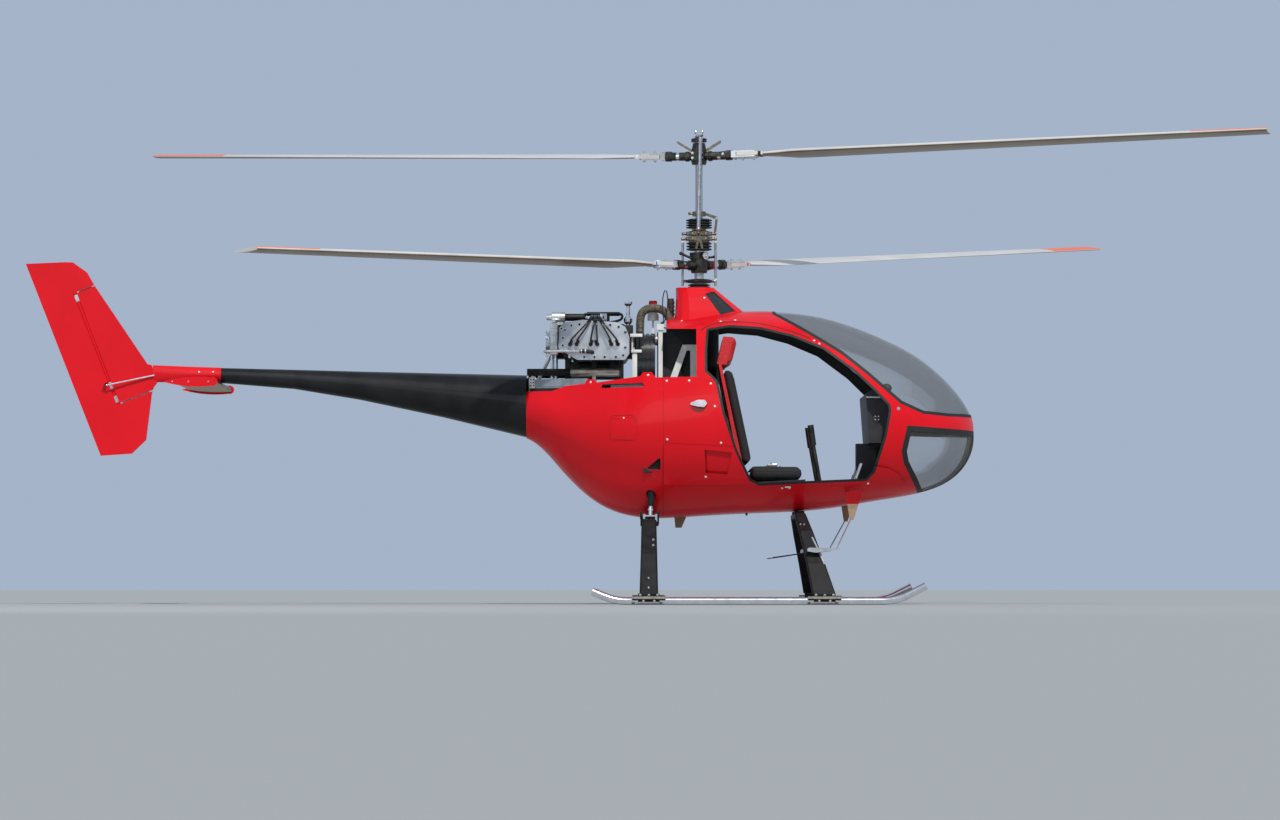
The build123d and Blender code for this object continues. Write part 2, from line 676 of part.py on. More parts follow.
def make_coolant_bottle():
    x, y, z = BOTTLE
    bottle = rod((x, y, z), (x, y, z + 88), BOTTLE_R) + rod((x, y, z + 87), (x, y, z + 112), 17)
    foot = DRUM_Z + (DRUM_R**2 - (abs(y) - 8) ** 2) ** 0.5 + FIT
    return bottle + slab((x - 6, y - 8, foot), (x + 6, y + 8, z + 1))


def make_filler_neck():
    x, y = FILLER
    base = ENGINE_Z + CRANKCASE[2] / 2 + FIT
    profile = [(0, base), (14, base), (14, 1588), (26, 1602), (26, 1620), (11, 1642), (11, 1690), (25, 1705),
               (25, 1716), (0, 1716)]
    return Pos(x, y, 0) * turned(profile)


# Masts, hubs and swashplates

def bellows(z0, z1, bore, waist, rim, folds):
    """Half section of a folded gaiter: radius, z."""
    step = (z1 - z0) / folds
    points = [(bore, z0)]
    for n in range(folds):
        z = z0 + n * step
        points += [(waist, z), (rim, z + 0.25 * step), (rim, z + 0.6 * step), (waist, z + 0.85 * step)]
    return points + [(waist, z1), (bore, z1)]


def make_swash_base():
    return turned(bellows(FAIRING_STATIONS[-1][0] + FIT, LOW_RING_Z[0] - 6, OUTER_MAST_R + 6, 50, 64, 2))


def make_outer_mast():
    low, high = OUTER_MAST_Z
    bore, land = OUTER_MAST_BORE, INNER_MAST_R + RUNNING
    profile = [(land, low), (OUTER_MAST_R, low), (OUTER_MAST_R, high), (land, high), (land, high - LAND_LENGTH),
               (bore, high - LAND_LENGTH), (bore, low + LAND_LENGTH), (land, low + LAND_LENGTH)]
    return turned(profile)


def make_inner_mast():
    low, high = INNER_MAST_Z
    return rod((0, 0, low), (0, 0, high), INNER_MAST_R)


UPPER = (UPPER_Z, UPPER_AZIMUTH, UPPER_TILT, UPPER_CONING)
LOWER = (LOWER_Z, LOWER_AZIMUTH, LOWER_TILT, LOWER_CONING)


def blade_place(rotor, turn):
    """Frame of one blade: X along the blade, coned up, turn 0 or 180 degrees round the tilted rotor."""
    z, azimuth, tilt, coning = rotor
    return Pos(0, 0, z) * Rot(0, 0, azimuth) * Rot(0, -tilt, 0) * Rot(0, 0, turn) * Rot(0, -coning, 0)


def airfoil(chord, thick):
    """Outline of a wing section with its nose at X = 0 and its tail at minus the chord."""
    nose_x, nose_z = -0.55 * thick, 0.42 * thick
    edge = TRAILING_EDGE
    upper = ThreePointArc((nose_x, nose_z), (-0.35 * chord, 0.5 * thick), (-chord, edge))
    lower = ThreePointArc((-chord, -edge), (-0.35 * chord, -0.5 * thick), (nose_x, -nose_z))
    front = ThreePointArc((nose_x, -nose_z), (0, 0), (nose_x, nose_z))
    return make_face([upper, Line((-chord, edge), (-chord, -edge)), lower, front])


def blade_section(r, chord, thick, pitch):
    plane = Plane(origin=(r, 0, 0), x_dir=(0, 1, 0), z_dir=(1, 0, 0))
    return plane * Rot(0, 0, pitch) * Pos(CHORD_AHEAD * chord, 0) * airfoil(chord, thick)


def make_blade(lead, rotor, turn):
    """One blade with its flat bolted root; lead is the side, +1 or -1, of its leading edge."""
    faces = []
    first = BLADE_STATIONS[0][0]
    for r, chord, thick in BLADE_STATIONS:
        pitch = PITCH - TWIST * (r - first) / (ROTOR_RADIUS - first)
        faces.append(blade_section(r, chord, thick, pitch))
    blade = loft(faces, ruled=True)
    blade += Rot(PITCH, 0, 0) * slab((BLADE_ROOT, -30, -ROOT_THICK / 2), (first + 6, 30, ROOT_THICK / 2))
    if lead < 0:
        blade = mirror(blade, about=Plane.XZ)
    return blade_place(rotor, turn) * blade


def make_grip(lead, rotor, turn):
    """Round grip with its collars, pitch horn and the two straps that hold the blade's root."""
    grip = rod((GRIP_FROM, 0, 0), (GRIP_TO, 0, 0), GRIP_R)
    for x0, x1 in ((GRIP_FROM + 8, GRIP_FROM + 26), (GRIP_TO - 36, GRIP_TO - 2)):
        grip += rod((x0, 0, 0), (x1, 0, 0), GRIP_R + 5)
    grip += slab((GRIP_TO - 3, -STRAP_HALF, -19), (BLADE_ROOT - 4, STRAP_HALF, 19))
    low, high = ROOT_THICK / 2 + FIT, ROOT_THICK / 2 + STRAP_THICK
    for side in (-1, 1):
        z0, z1 = sorted((side * low, side * high))
        strap = slab((GRIP_TO, -STRAP_HALF, z0), (STRAP_TO, STRAP_HALF, z1))
        grip += chamfer(strap.edges().filter_by(Axis.Z).group_by(Axis.X)[-1], 16)
    y0, y1 = HORN_Y
    grip += Pos(0, (y0 + y1) / 2, 0) * extrude(side_face(HORN_PLAN), amount=(y1 - y0) / 2, both=True)
    grip += slab((GRIP_TO - 34, 20, -14), (GRIP_TO - 12, y0 + 1, 14))
    grip = Rot(PITCH, 0, 0) * grip
    if lead < 0:
        grip = mirror(grip, about=Plane.XZ)
    return blade_place(rotor, turn) * grip


def make_grips(lead, rotor):
    return make_grip(lead, rotor, 0) + make_grip(lead, rotor, 180)


def hub_arms(rotor):
    arms = Part()
    for turn in (0, 180):
        arms += blade_place(rotor, turn) * rod((0, 0, 0), (GRIP_FROM - FIT, 0, 0), GRIP_R - 3)
    return arms


def upper_hub_form(gap):
    z = UPPER_Z
    return turned([(0, z - 46), (40 + gap, z - 46), (46 + gap, z - 20), (46 + gap, z + 22), (34 + gap, z + 76),
                   (0, z + 76)])


def make_upper_hub():
    """Tapered head with two yoke plates."""
    hub = upper_hub_form(0) + hub_arms(UPPER)
    for y in (-1, 1):
        plate = chamfer(Box(78, 8, 52).edges().filter_by(Axis.Y), 14)
        hub += Pos(0, 0, UPPER_Z + 4) * Rot(0, 0, UPPER_AZIMUTH) * Pos(0, y * 42, 0) * plate
    hub -= both_rods(3)
    return hub - rod((0, 0, UPPER_Z - 100), (0, 0, INNER_MAST_Z[1] + 90), INNER_MAST_R + FIT)


def make_lower_hub():
    """Housing with a teeter bearing above the blades and two ball arms."""
    z = LOWER_Z
    hub = turned([(0, z - 42), (44, z - 42), (48, z - 30), (48, z + 44), (0, z + 44)])
    bearing = chamfer(Box(112, 80, 36).edges().filter_by(Axis.Z), 22)
    hub += Pos(0, 0, z + 56) * Rot(0, 0, LOWER_AZIMUTH) * bearing
    hub += Pos(0, 0, z + 54) * Rot(0, 0, LOWER_AZIMUTH) * rod((0, -54, 0), (0, 54, 0), 24)
    for start, end in (((-38, -28, z + 38), (-104, -38, z + 68)), ((38, 28, z + 46), (92, 40, z + 54))):
        hub += rod(start, end, 7) + ball(end, 10)
    hub += hub_arms(LOWER)
    return hub - rod((0, 0, z - 100), (0, 0, z + 100), OUTER_MAST_R + FIT)


def make_top_plate():
    """Plate on the inner mast, the crosshead that takes the control rods, and two ball ends."""
    z0, z1 = CROSSHEAD_Z
    plate = rod((0, 0, INNER_MAST_Z[1] + FIT), (0, 0, INNER_MAST_Z[1] + 20), 44)
    plate += rod((0, 0, INNER_MAST_Z[1] + 19), (0, 0, z0 + 1), 14)
    reach = 14 - ROD_TOP[1]
    plate += Rot(0, 0, 8) * slab((-12, -reach, z0), (12, reach, z1))
    for ball_x in (-18, 18):
        plate += rod((ball_x * 0.6, 0, z1 - 1), (ball_x, 0, z1 + 14), 6) + ball((ball_x, 0, z1 + 18), 11)
    return plate


def make_counterweights():
    """Two raised bars in a V over the blades' roots."""
    arms = Part()
    for turn in (0, 180):
        bar = Pos(80, 0, UPPER_Z + 56) * Rot(0, -31, 0) * Box(112, 16, 13)
        arms += Rot(0, 0, UPPER_AZIMUTH + turn) * (bar - slab((127, -20, UPPER_Z), (160, 20, UPPER_Z + 120)))
    return arms - upper_hub_form(FIT)


def ears(z, angles, radius, reach):
    """Ball arms that stand out from a ring."""
    arms = Part()
    for angle in angles:
        arms += Rot(0, 0, angle) * (rod((SWASH_R - 10, 0, z), (reach, 0, z), radius) + ball((reach, 0, z), radius + 2))
    return arms


def make_upper_swashplate():
    bore = INNER_MAST_R + FIT
    ring = turned(bellows(2135, 2190, bore, 58, SWASH_R - 1, 4))
    ring += turned([(bore, EAR_Z - 10), (SWASH_R, EAR_Z - 10), (SWASH_R, EAR_Z + 10), (40, EAR_Z + 18), (40, 2136),
                    (bore, 2136)])
    return ring + ears(EAR_Z, (0, 180, -92.5, 87.5), 8, EAR_REACH)


def make_scissor_link():
    """Clamp on the inner mast with the two flat links that turn the swashplate."""
    z = 2206
    bore = INNER_MAST_R + FIT
    clamp = turned([(bore, z), (38, z), (38, z + 26), (bore, z + 26)])
    clamp += rod((-30, 0, z + 13), (-52, 0, z + 16), 6) + ball((-54, 0, z + 16), 9)
    upper = side_face([(30, z + 22), (30, z + 8), (98, z - 18), (108, z - 12), (104, z - 2)])
    lower = side_face([(94, z - 8), (108, z - 8), (98, EAR_Z + 10 + FIT), (84, EAR_Z + 10 + FIT)])
    clamp += extrude(upper, amount=7, both=True) + extrude(lower, amount=6, both=True)
    return clamp


def control_rod(extra):
    return rod(ROD_FOOT, (*ROD_TOP, CROSSHEAD_Z[0] - 1), ROD_R + extra)


def both_rods(extra):
    return control_rod(extra) + Rot(0, 0, 180) * control_rod(extra)


def make_trim_rods():
    """Two rods from the upper swashplate past the upper hub to the crosshead."""
    foot = ball(ROD_FOOT, ROD_R + 1)
    return both_rods(0) + foot + Rot(0, 0, 180) * foot


def make_lower_swashplate():
    """Turning ring above the fixed gaiter, and the rods past the lower hub that carry the ring above it."""
    bore = OUTER_MAST_R + FIT
    (low0, low1), (top0, top1) = LOW_RING_Z, RING_Z
    ring = turned([(bore, low0), (SWASH_R - 7, low0), (SWASH_R - 3, low0 + 5), (SWASH_R - 3, low1 - 6),
                   (SWASH_R - 15, low1), (bore, low1)])
    ring += turned(bellows(2010, 2060, bore, 56, SWASH_R - 3, 3))
    ring += turned([(bore, 2058), (60, 2058), (60, top0 + 1), (bore, top0 + 1)])
    ring += turned([(INNER_MAST_R + 5, top0 + FIT), (SWASH_R, top0 + FIT), (SWASH_R, top1), (INNER_MAST_R + 5, top1)])
    for x in (-LINK_X, LINK_X):
        ring += rod((x, 0, LOW_RING_Z[0] - 18), (x, 0, top1 - 10), 7)
        ring += rod((0.6 * x, 0, low0 + 10), (x, 0, low0 + 10), 8) + rod((0.7 * x, 0, top0 + 11), (x, 0, top0 + 11), 8)
        ring += ball((x, 0, top0 + 11), 10)
    fork = side_face([(-9, top1), (9, top1), (23, 2018), (12, 2014), (0, 2062), (-12, 2014), (-23, 2018)])
    return ring + Pos(0, -SWASH_R - 3, 0) * extrude(fork, amount=5, both=True)


# Tail

def ellipse_station(x, z_low, z_high, half, inset=0.0):
    plane = Plane(origin=(x, 0, (z_low + z_high) / 2), x_dir=(0, 1, 0), z_dir=(1, 0, 0))
    return plane * Ellipse(half - inset, (z_high - z_low) / 2 - inset)


def boom_body(inset=0.0):
    return loft([ellipse_station(*station, inset) for station in BOOM_STATIONS], ruled=True)


def make_tail_boom():
    boom = boom_body() - boom_body(BOOM_WALL)
    first = BOOM_STATIONS[0]
    boom += extrude(ellipse_station(*first, BOOM_WALL / 2), amount=-14)
    return boom + (extrude(ellipse_station(*first), amount=14) & LINING)


def upright(points):
    """A surface standing in the plane of symmetry, thinning towards its edges fore and aft."""
    plate = extrude(side_face(points), amount=FIN_THICK, both=True)
    half = [(x, y) for x, y in FIN_PLAN] + [(x, -y) for x, y in reversed(FIN_PLAN)]
    return plate & extrude(make_face(Polyline(*half, close=True)), amount=FAR)


def hinge_frame(share):
    """Frame on the rudder's hinge line: X square to it and aft, Z along it and up."""
    (x0, z0), (x1, z1) = HINGE_LOW, HINGE_HIGH
    length = hypot(x1 - x0, z1 - z0)
    up = ((x1 - x0) / length, 0, (z1 - z0) / length)
    aft = (-up[2], 0, up[0])
    return Plane(origin=(x0 + share * (x1 - x0), 0, z0 + share * (z1 - z0)), x_dir=aft, z_dir=up)


def hinge_zone(low, high, end):
    """The zone along the hinge line from low to high, measured aft, and past both its ends by end."""
    half = hypot(HINGE_HIGH[0] - HINGE_LOW[0], HINGE_HIGH[1] - HINGE_LOW[1]) / 2 + end
    return hinge_frame(0.5) * slab((low, -60, -half), (high, 60, half))


def make_tail_fin():
    """Sleeve on the boom's end and the fixed fin behind it, with the pins that carry the rudder."""
    x = BOOM_STATIONS[-1][0] - FIT
    stations = [(x, 1256, 1344, 44), (-2900, 1257, 1350, 36), (SLEEVE_END_X, 1262, 1358, 16)]
    fin = loft([ellipse_station(*station) for station in stations], ruled=True)
    fin += (upright(TAIL_OUTLINE) & hinge_zone(-900, -HINGE_SIDE, 0)) - nose_bar(NOSE_R + NOSE_GAP, 20)
    gap, near, tall = LUG_Z
    for share in HINGE_SHARES:
        frame = hinge_frame(share)
        for low, high in ((-tall, -near), (near, tall)):
            fin += frame * slab((-NOSE_R - NOSE_GAP - 8, -5, low), (5, 5, high))
        fin += frame * rod((0, 0, -tall), (0, 0, tall), HINGE_PIN_R)
    return fin


def nose_bar(radius, end):
    """Round bar along the hinge line, past both its ends by end."""
    half = hypot(HINGE_HIGH[0] - HINGE_LOW[0], HINGE_HIGH[1] - HINGE_LOW[1]) / 2 + end
    return hinge_frame(0.5) * rod((0, 0, -half), (0, 0, half), radius)


def make_rudder():
    whole = upright(TAIL_OUTLINE)
    rudder = whole & hinge_zone(HINGE_SIDE, 900, 900)
    rudder += whole & nose_bar(NOSE_R, TIP_GAP + 2)
    ahead = whole & hinge_zone(-400, HINGE_SIDE + 1, 900)
    rudder += ahead & (hinge_frame(1) * slab((-400, -60, TIP_GAP), (HINGE_SIDE + 2, 60, 400)))
    rudder += ahead & (hinge_frame(0) * slab((-400, -60, -500), (HINGE_SIDE + 2, 60, -TIP_GAP)))
    gap, near, tall = LUG_Z
    for share in HINGE_SHARES:
        frame = hinge_frame(share)
        rudder -= frame * slab((-NOSE_R - 2, -30, -tall - NOSE_GAP), (HINGE_SIDE, 30, tall + NOSE_GAP))
        rudder += frame * slab((-6, -5, -gap), (HINGE_SIDE + 4, 5, gap))
        rudder -= frame * rod((0, 0, -tall - 1), (0, 0, tall + 1), HINGE_PIN_R + RUNNING)
    reach, low, high = ROD_HORN
    return rudder + hinge_frame(HINGE_SHARES[1]) * slab((HINGE_SIDE - 1, 0, low), (HINGE_SIDE + 22, reach, high))


def make_rudder_pushrod():
    """Rod that works the rudder, opened at its eye, which lies 5 mm below the horn."""
    reach, low, high = ROD_HORN
    end = hinge_frame(HINGE_SHARES[1]).from_local_coords(Vector(HINGE_SIDE + 8, reach - 8, low - 13))
    start = Vector(-3095, -21.6, 1300)
    return rod(start, end, 5) + Pos(end) * Sphere(7)


def make_stabilizer():
    x0, x1 = STABILIZER_X
    wing = Plane.XZ * airfoil(x1 - x0, STABILIZER_THICK)
    return Pos(x1, 0, STABILIZER_Z) * extrude(wing, amount=STABILIZER_HALF, both=True)


def make_stabilizer_caps():
    x0, x1 = CAP_X
    cap = Plane.XZ * airfoil(x1 - x0, CAP_HEIGHT)
    y = STABILIZER_HALF + FIT
    return both_sides(Pos(x1, -y, STABILIZER_Z) * extrude(cap, amount=CAP_THICK))


# Landing gear

def make_skids():
    points = [(x, SKID_Y, SKID_R + z) for x, z in SKID_PATH]
    path = FilletPolyline(*points, radius=SKID_BEND)
    section = Plane(origin=path @ 0, z_dir=path % 0) * Circle(SKID_R)
    return both_sides(sweep(section, path=path))


def strut_body(stations):
    """A flat bent bar through stations of x, y, z, width along X and thickness."""
    faces = []
    for k, (x, y, z, width, thick) in enumerate(stations):
        before = Vector(*stations[max(k - 1, 0)][:3])
        after = Vector(*stations[min(k + 1, len(stations) - 1)][:3])
        plane = Plane(origin=(x, y, z), x_dir=(1, 0, 0), z_dir=Vector(0, (after - before).Y, (after - before).Z))
        faces.append(plane * chamfer(Rectangle(width, thick).vertices(), thick * 0.28))
    return loft(faces, ruled=True)


def below_leg():
    return slab((-700, 500, -50), (1200, 1000, SHOE_TOP + FIT))


def make_rear_legs():
    leg = strut_body(REAR_LEG)
    x, y, z = REAR_LEG[0][:3]
    leg += slab((x - 34, y - 14, z), (x + 34, y + 16, z + 19))
    for hole_z in LEG_HOLES:
        leg -= rod((x, 600, hole_z), (x, 900, hole_z), LEG_HOLE_R)
    return both_sides(leg - below_leg())


def make_front_legs():
    x, y, z = FRONT_LEG[1][:3]
    leg = strut_body(FRONT_LEG)
    leg += slab((x - 28, 180, z), (x + 28, 250, z + 26))
    return both_sides(leg - below_leg())


def make_skid_shoes():
    """Clamps on the skids under the legs, each with a bar and two pins for ground-handling wheels."""
    shoes = Part()
    side_y = SKID_Y + SKID_R + SHOE_WALL
    half, tall = BAR_HALF
    for station in (REAR_LEG[-1], FRONT_LEG[-1]):
        x = station[0]
        shoe = slab((x - SHOE_LENGTH / 2, SKID_Y - SKID_R - SHOE_WALL, SKID_R - 6),
                    (x + SHOE_LENGTH / 2, side_y, SHOE_TOP))
        shoe -= rod((x - 200, SKID_Y, SKID_R), (x + 200, SKID_Y, SKID_R), SKID_R + FIT)
        shoe += slab((x - half, side_y, PIN_Z - tall), (x + half, side_y + BAR_THICK, PIN_Z + tall))
        for pin_x in (x - PIN_X, x + PIN_X):
            shoe += rod((pin_x, side_y + 1, PIN_Z), (pin_x, side_y + BAR_THICK + PIN_LENGTH, PIN_Z), PIN_R)
        shoes += shoe
    return both_sides(shoes)


def strut_bar(radius, start=0.0):
    """The strut's line from a share of its length up to its head."""
    foot, head = Vector(*STRUT_FOOT), Vector(*STRUT_HEAD)
    return rod(foot + (head - foot) * start, head, radius)


def make_shock_struts():
    """Sprung struts from the rear legs up into the hull: a rod with a collar, and the barrel above it."""
    x, y, z = STRUT_FOOT
    foot, head = Vector(*STRUT_FOOT), Vector(*STRUT_HEAD)
    strut = strut_bar(STRUT_ROD_R) + strut_bar(STRUT_R, 0.36)
    strut += rod(foot + (head - foot) * 0.2, foot + (head - foot) * 0.27, STRUT_ROD_R + 5)
    strut += slab((x - 42, y - 14, z - 30), (x - 30, y + 18, z + 10)) + slab((x + 26, y - 14, z - 30), (x + 38, y + 18, z + 10))
    strut += rod((x - 50, y, z - 2), (x + 46, y, z - 2), 8)
    return both_sides(strut) - make_rear_legs()


def make_boarding_steps():
    """Step on each front leg, and the stay from its nose to a bracket under the belly."""
    y0, y1 = STEP_Y
    step = Pos(0, (y0 + y1) / 2, 0) * extrude(side_face(STEP_OUTLINE), amount=(y1 - y0) / 2, both=True)
    start, end = STAY
    step += rod(start, end, STAY_R)
    step += Pos(0, end[1], 0) * extrude(side_face(STAY_BRACKET), amount=4, both=True)
    return both_sides(step) - make_front_legs() - OUTSIDE


def make_aerials():
    blade = extrude(side_face(BELLY_AERIAL), amount=4, both=True)
    return blade - OUTSIDE


def all_pieces():
    """Every piece by its name, about the mast axis."""
    pieces = {
        "cabin_shell": make_cabin_shell(), "rear_hull": make_rear_hull(), "mast_fairing": make_mast_fairing(),
        "fairing_windows": make_fairing_windows(), "breather": make_breather(),
        "windscreen": make_windscreen(), "chin_windows": make_chin_windows(), "side_handles": make_side_handles(),
        "window_seals": make_window_seals(), "door_seals": make_door_seals(),
        "cabin_floor": make_cabin_floor(), "firewall": make_firewall(), "engine_deck": make_engine_deck(),
        "seat_shells": make_seat_shells(), "seat_cushions": make_seat_cushions(), "seat_backs": make_seat_backs(),
        "dash_console": make_dash_console(), "flight_controls": make_flight_controls(), "pedals": make_pedals(),
        "engine_block": make_engine_block(), "cylinder_heads": make_cylinder_heads(), "exhausts": make_exhausts(),
        "starter_motor": make_starter_motor(), "drive_drum": make_drive_drum(), "air_hose": make_air_hose(),
        "coolant_bottle": make_coolant_bottle(), "filler_neck": make_filler_neck(),
        "gearbox": make_gearbox(), "mast_frame": make_mast_frame(), "swash_base": make_swash_base(),
        "tail_boom": make_tail_boom(), "tail_fin": make_tail_fin(), "rudder": make_rudder(),
        "rudder_pushrod": make_rudder_pushrod(), "stabilizer": make_stabilizer(),
        "stabilizer_caps": make_stabilizer_caps(),
        "skids": make_skids(), "rear_legs": make_rear_legs(), "front_legs": make_front_legs(),
        "skid_shoes": make_skid_shoes(), "shock_struts": make_shock_struts(),
        "boarding_steps": make_boarding_steps(), "aerials": make_aerials(),
        "outer_mast": make_outer_mast(), "lower_hub": make_lower_hub(), "lower_grips": make_grips(1, LOWER),
        "lower_swashplate": make_lower_swashplate(),
        "lower_blade_front": make_blade(1, LOWER, 0), "lower_blade_rear": make_blade(1, LOWER, 180),
        "inner_mast": make_inner_mast(), "upper_hub": make_upper_hub(), "upper_grips": make_grips(-1, UPPER),
        "upper_swashplate": make_upper_swashplate(),
        "upper_blade_front": make_blade(-1, UPPER, 0), "upper_blade_rear": make_blade(-1, UPPER, 180),
        "counterweights": make_counterweights(), "top_plate": make_top_plate(),
        "scissor_link": make_scissor_link(), "trim_rods": make_trim_rods(),
    }
    return pieces


def export_all():
    """Move the pieces to the centre of their common footprint and write one file for each."""
    os.makedirs("parts", exist_ok=True)
    pieces = all_pieces()
    boxes = [piece.bounding_box() for piece in pieces.values()]
    low = [min(getattr(box.min, axis) for box in boxes) for axis in "XYZ"]
    high = [max(getattr(box.max, axis) for box in boxes) for axis in "XYZ"]
    shift = (-(low[0] + high[0]) / 2, -(low[1] + high[1]) / 2, -low[2])
    print("shift from the mast axis:", [round(value, 3) for value in shift])
    for name, piece in pieces.items():
        export_step(Pos(*shift) * piece, f"parts/{name}.step")


export_all()
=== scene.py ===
# %% [markdown]
# # An ultralight helicopter with two rotors on one mast
# The imported model is a fixed frame: every piece of it stands where the maker measured it, in metres.
# X points forward, Y to port and Z up, and the origin is on the ground under the middle of the machine.
# First we load that frame, and take the mast's axis from the box of the outer mast.

# %% Load the frame
import json
import math

import bmesh
import bpy
from mathutils import Matrix, Vector
from mathutils.bvhtree import BVHTree

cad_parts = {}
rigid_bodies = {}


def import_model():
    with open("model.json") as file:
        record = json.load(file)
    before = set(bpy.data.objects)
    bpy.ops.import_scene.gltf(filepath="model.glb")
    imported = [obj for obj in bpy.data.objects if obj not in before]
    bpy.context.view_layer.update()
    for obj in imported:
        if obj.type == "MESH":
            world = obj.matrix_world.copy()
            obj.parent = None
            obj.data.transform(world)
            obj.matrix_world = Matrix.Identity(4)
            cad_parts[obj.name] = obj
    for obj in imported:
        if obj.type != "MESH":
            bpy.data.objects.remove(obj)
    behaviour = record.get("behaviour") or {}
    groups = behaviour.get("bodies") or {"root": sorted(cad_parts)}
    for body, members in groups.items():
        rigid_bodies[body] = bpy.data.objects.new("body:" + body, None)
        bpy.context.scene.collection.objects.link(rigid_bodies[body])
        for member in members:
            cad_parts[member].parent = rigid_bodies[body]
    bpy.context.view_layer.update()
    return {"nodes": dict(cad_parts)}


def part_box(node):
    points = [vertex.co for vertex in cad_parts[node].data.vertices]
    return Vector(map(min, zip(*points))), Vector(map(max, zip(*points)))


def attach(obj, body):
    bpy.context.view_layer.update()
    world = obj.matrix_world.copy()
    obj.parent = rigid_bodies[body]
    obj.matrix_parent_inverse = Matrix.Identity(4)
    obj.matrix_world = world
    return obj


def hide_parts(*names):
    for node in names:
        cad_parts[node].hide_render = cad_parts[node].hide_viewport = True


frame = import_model()
nodes = frame["nodes"]
scene = bpy.context.scene
scene.view_settings.view_transform = "Standard"
mast_low, mast_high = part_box("outer_mast")
MAST_X = (mast_low[0] + mast_high[0]) / 2
MAST_Y = (mast_low[1] + mast_high[1]) / 2
SIDES = (-1, 1)
SIDE_NAMES = ((-1, "starboard"), (1, "port"))
print("nodes:", len(nodes), "mast axis at", round(MAST_X, 4), round(MAST_Y, 4))

# %% [markdown]
# ## The camera
# The machine is seen almost square from its starboard side, through a long lens from far away, from floor level.
# A camera 30 m off with a narrow view keeps the sides parallel as in the picture. It looks up by two degrees.

# %% Camera
CAMERA_DISTANCE = 30.0
CAMERA_HEIGHT = 0.1
VIEW_CENTRE = Vector((-0.01, 0.0, 1.103))
VIEW_WIDTH = 7.27
SENSOR_WIDTH = 36.0
camera_data = bpy.data.cameras.new("camera")
camera = bpy.data.objects.new("camera", camera_data)
scene.collection.objects.link(camera)
camera.location = (VIEW_CENTRE.x, -CAMERA_DISTANCE, CAMERA_HEIGHT)
camera.rotation_euler = (VIEW_CENTRE - camera.location).to_track_quat("-Z", "Y").to_euler()
camera_data.sensor_width = SENSOR_WIDTH
camera_data.lens = SENSOR_WIDTH * CAMERA_DISTANCE / VIEW_WIDTH
camera_data.clip_end = 400.0
scene.camera = camera
print("lens:", round(camera_data.lens, 1), "mm")

# %% [markdown]
# ## Shader nodes
# Each shader is a small graph. These two helpers place a node in it and fill its inputs: a plain value is set on the
# socket, and the output of another node is linked to it.

# %% Helpers for shader graphs


def wire(tree, node, inputs):
    for socket, value in inputs.items():
        if isinstance(value, bpy.types.NodeSocket):
            tree.links.new(value, node.inputs[socket])
        else:
            node.inputs[socket].default_value = value


def add_node(tree, kind, inputs=None, **settings):
    node = tree.nodes.new("ShaderNode" + kind)
    for name, value in settings.items():
        setattr(node, name, value)
    wire(tree, node, inputs or {})
    return node


def shader_of(name):
    material = bpy.data.materials.new(name)
    material.use_nodes = True
    tree = material.node_tree
    return material, tree, tree.nodes["Principled BSDF"]


# %% [markdown]
# ## Floor, backdrop and light
# The air behind is the pale grey blue of a hazy sky. The camera, mirrors and glass see that colour, while the light
# that falls on the paint comes from a second, plainer background, so the object is lit evenly and no colour shifts.
# A broad sun from above and behind the camera gives the clear highlights along the roof.

# %% Stage
SKY = (0.376, 0.456, 0.578, 1.0)
SKY_LIGHT = (0.62, 0.68, 0.76, 1.0)
GROUND = (0.36, 0.38, 0.4, 1.0)


def plain_world():
    world = bpy.data.worlds.new("sky")
    scene.world = world
    world.use_nodes = True
    tree = world.node_tree
    tree.nodes.clear()
    seen = add_node(tree, "Background", {"Color": SKY})
    light = add_node(tree, "Background", {"Color": SKY_LIGHT, "Strength": 0.62})
    path = add_node(tree, "LightPath")
    total = path.outputs["Is Camera Ray"]
    for ray in ("Is Transmission Ray", "Is Glossy Ray"):
        total = add_node(tree, "Math", {0: total, 1: path.outputs[ray]}, operation="MAXIMUM").outputs[0]
    mix = add_node(tree, "MixShader", {0: total, 1: light.outputs[0], 2: seen.outputs[0]})
    add_node(tree, "OutputWorld", {"Surface": mix.outputs[0]})


def lamp(name, kind, energy, location, target, size, colour=(1.0, 1.0, 1.0)):
    """A lamp that looks at its target. The size is in metres, or in degrees for a sun."""
    data = bpy.data.lights.new(name, kind)
    data.energy = energy
    data.color = colour
    if kind == "SUN":
        data.angle = math.radians(size)
    else:
        data.size = size
    light = bpy.data.objects.new(name, data)
    light.location = location
    light.rotation_euler = (Vector(target) - Vector(location)).to_track_quat("-Z", "Y").to_euler()
    scene.collection.objects.link(light)


def make_floor():
    mesh = bpy.data.meshes.new("floor")
    form = bmesh.new()
    bmesh.ops.create_grid(form, x_segments=1, y_segments=1, size=120.0)
    form.to_mesh(mesh)
    form.free()
    floor = bpy.data.objects.new("floor", mesh)
    scene.collection.objects.link(floor)
    material, tree, shader = shader_of("floor")
    wire(tree, shader, {"Base Color": GROUND, "Roughness": 0.9})
    mesh.materials.append(material)


plain_world()
lamp("sun", "SUN", 2.8, (2.5, -8.5, 10.5), (0.0, 0.0, 1.0), 2.0, (1.0, 0.97, 0.92))
lamp("soft fill", "AREA", 90.0, (-4.0, -8.0, 5.0), (0.0, 0.0, 1.2), 5.0)
make_floor()
print("lamps:", len(bpy.data.lights))

# %% [markdown]
# ## Paints and metals
# Every finish is one shader with a fine unevenness in colour, gloss and height, as no real surface is perfect.
# The pattern reads Object coordinates, which are metres here, so a scale of 40 makes spots of about 25 mm.

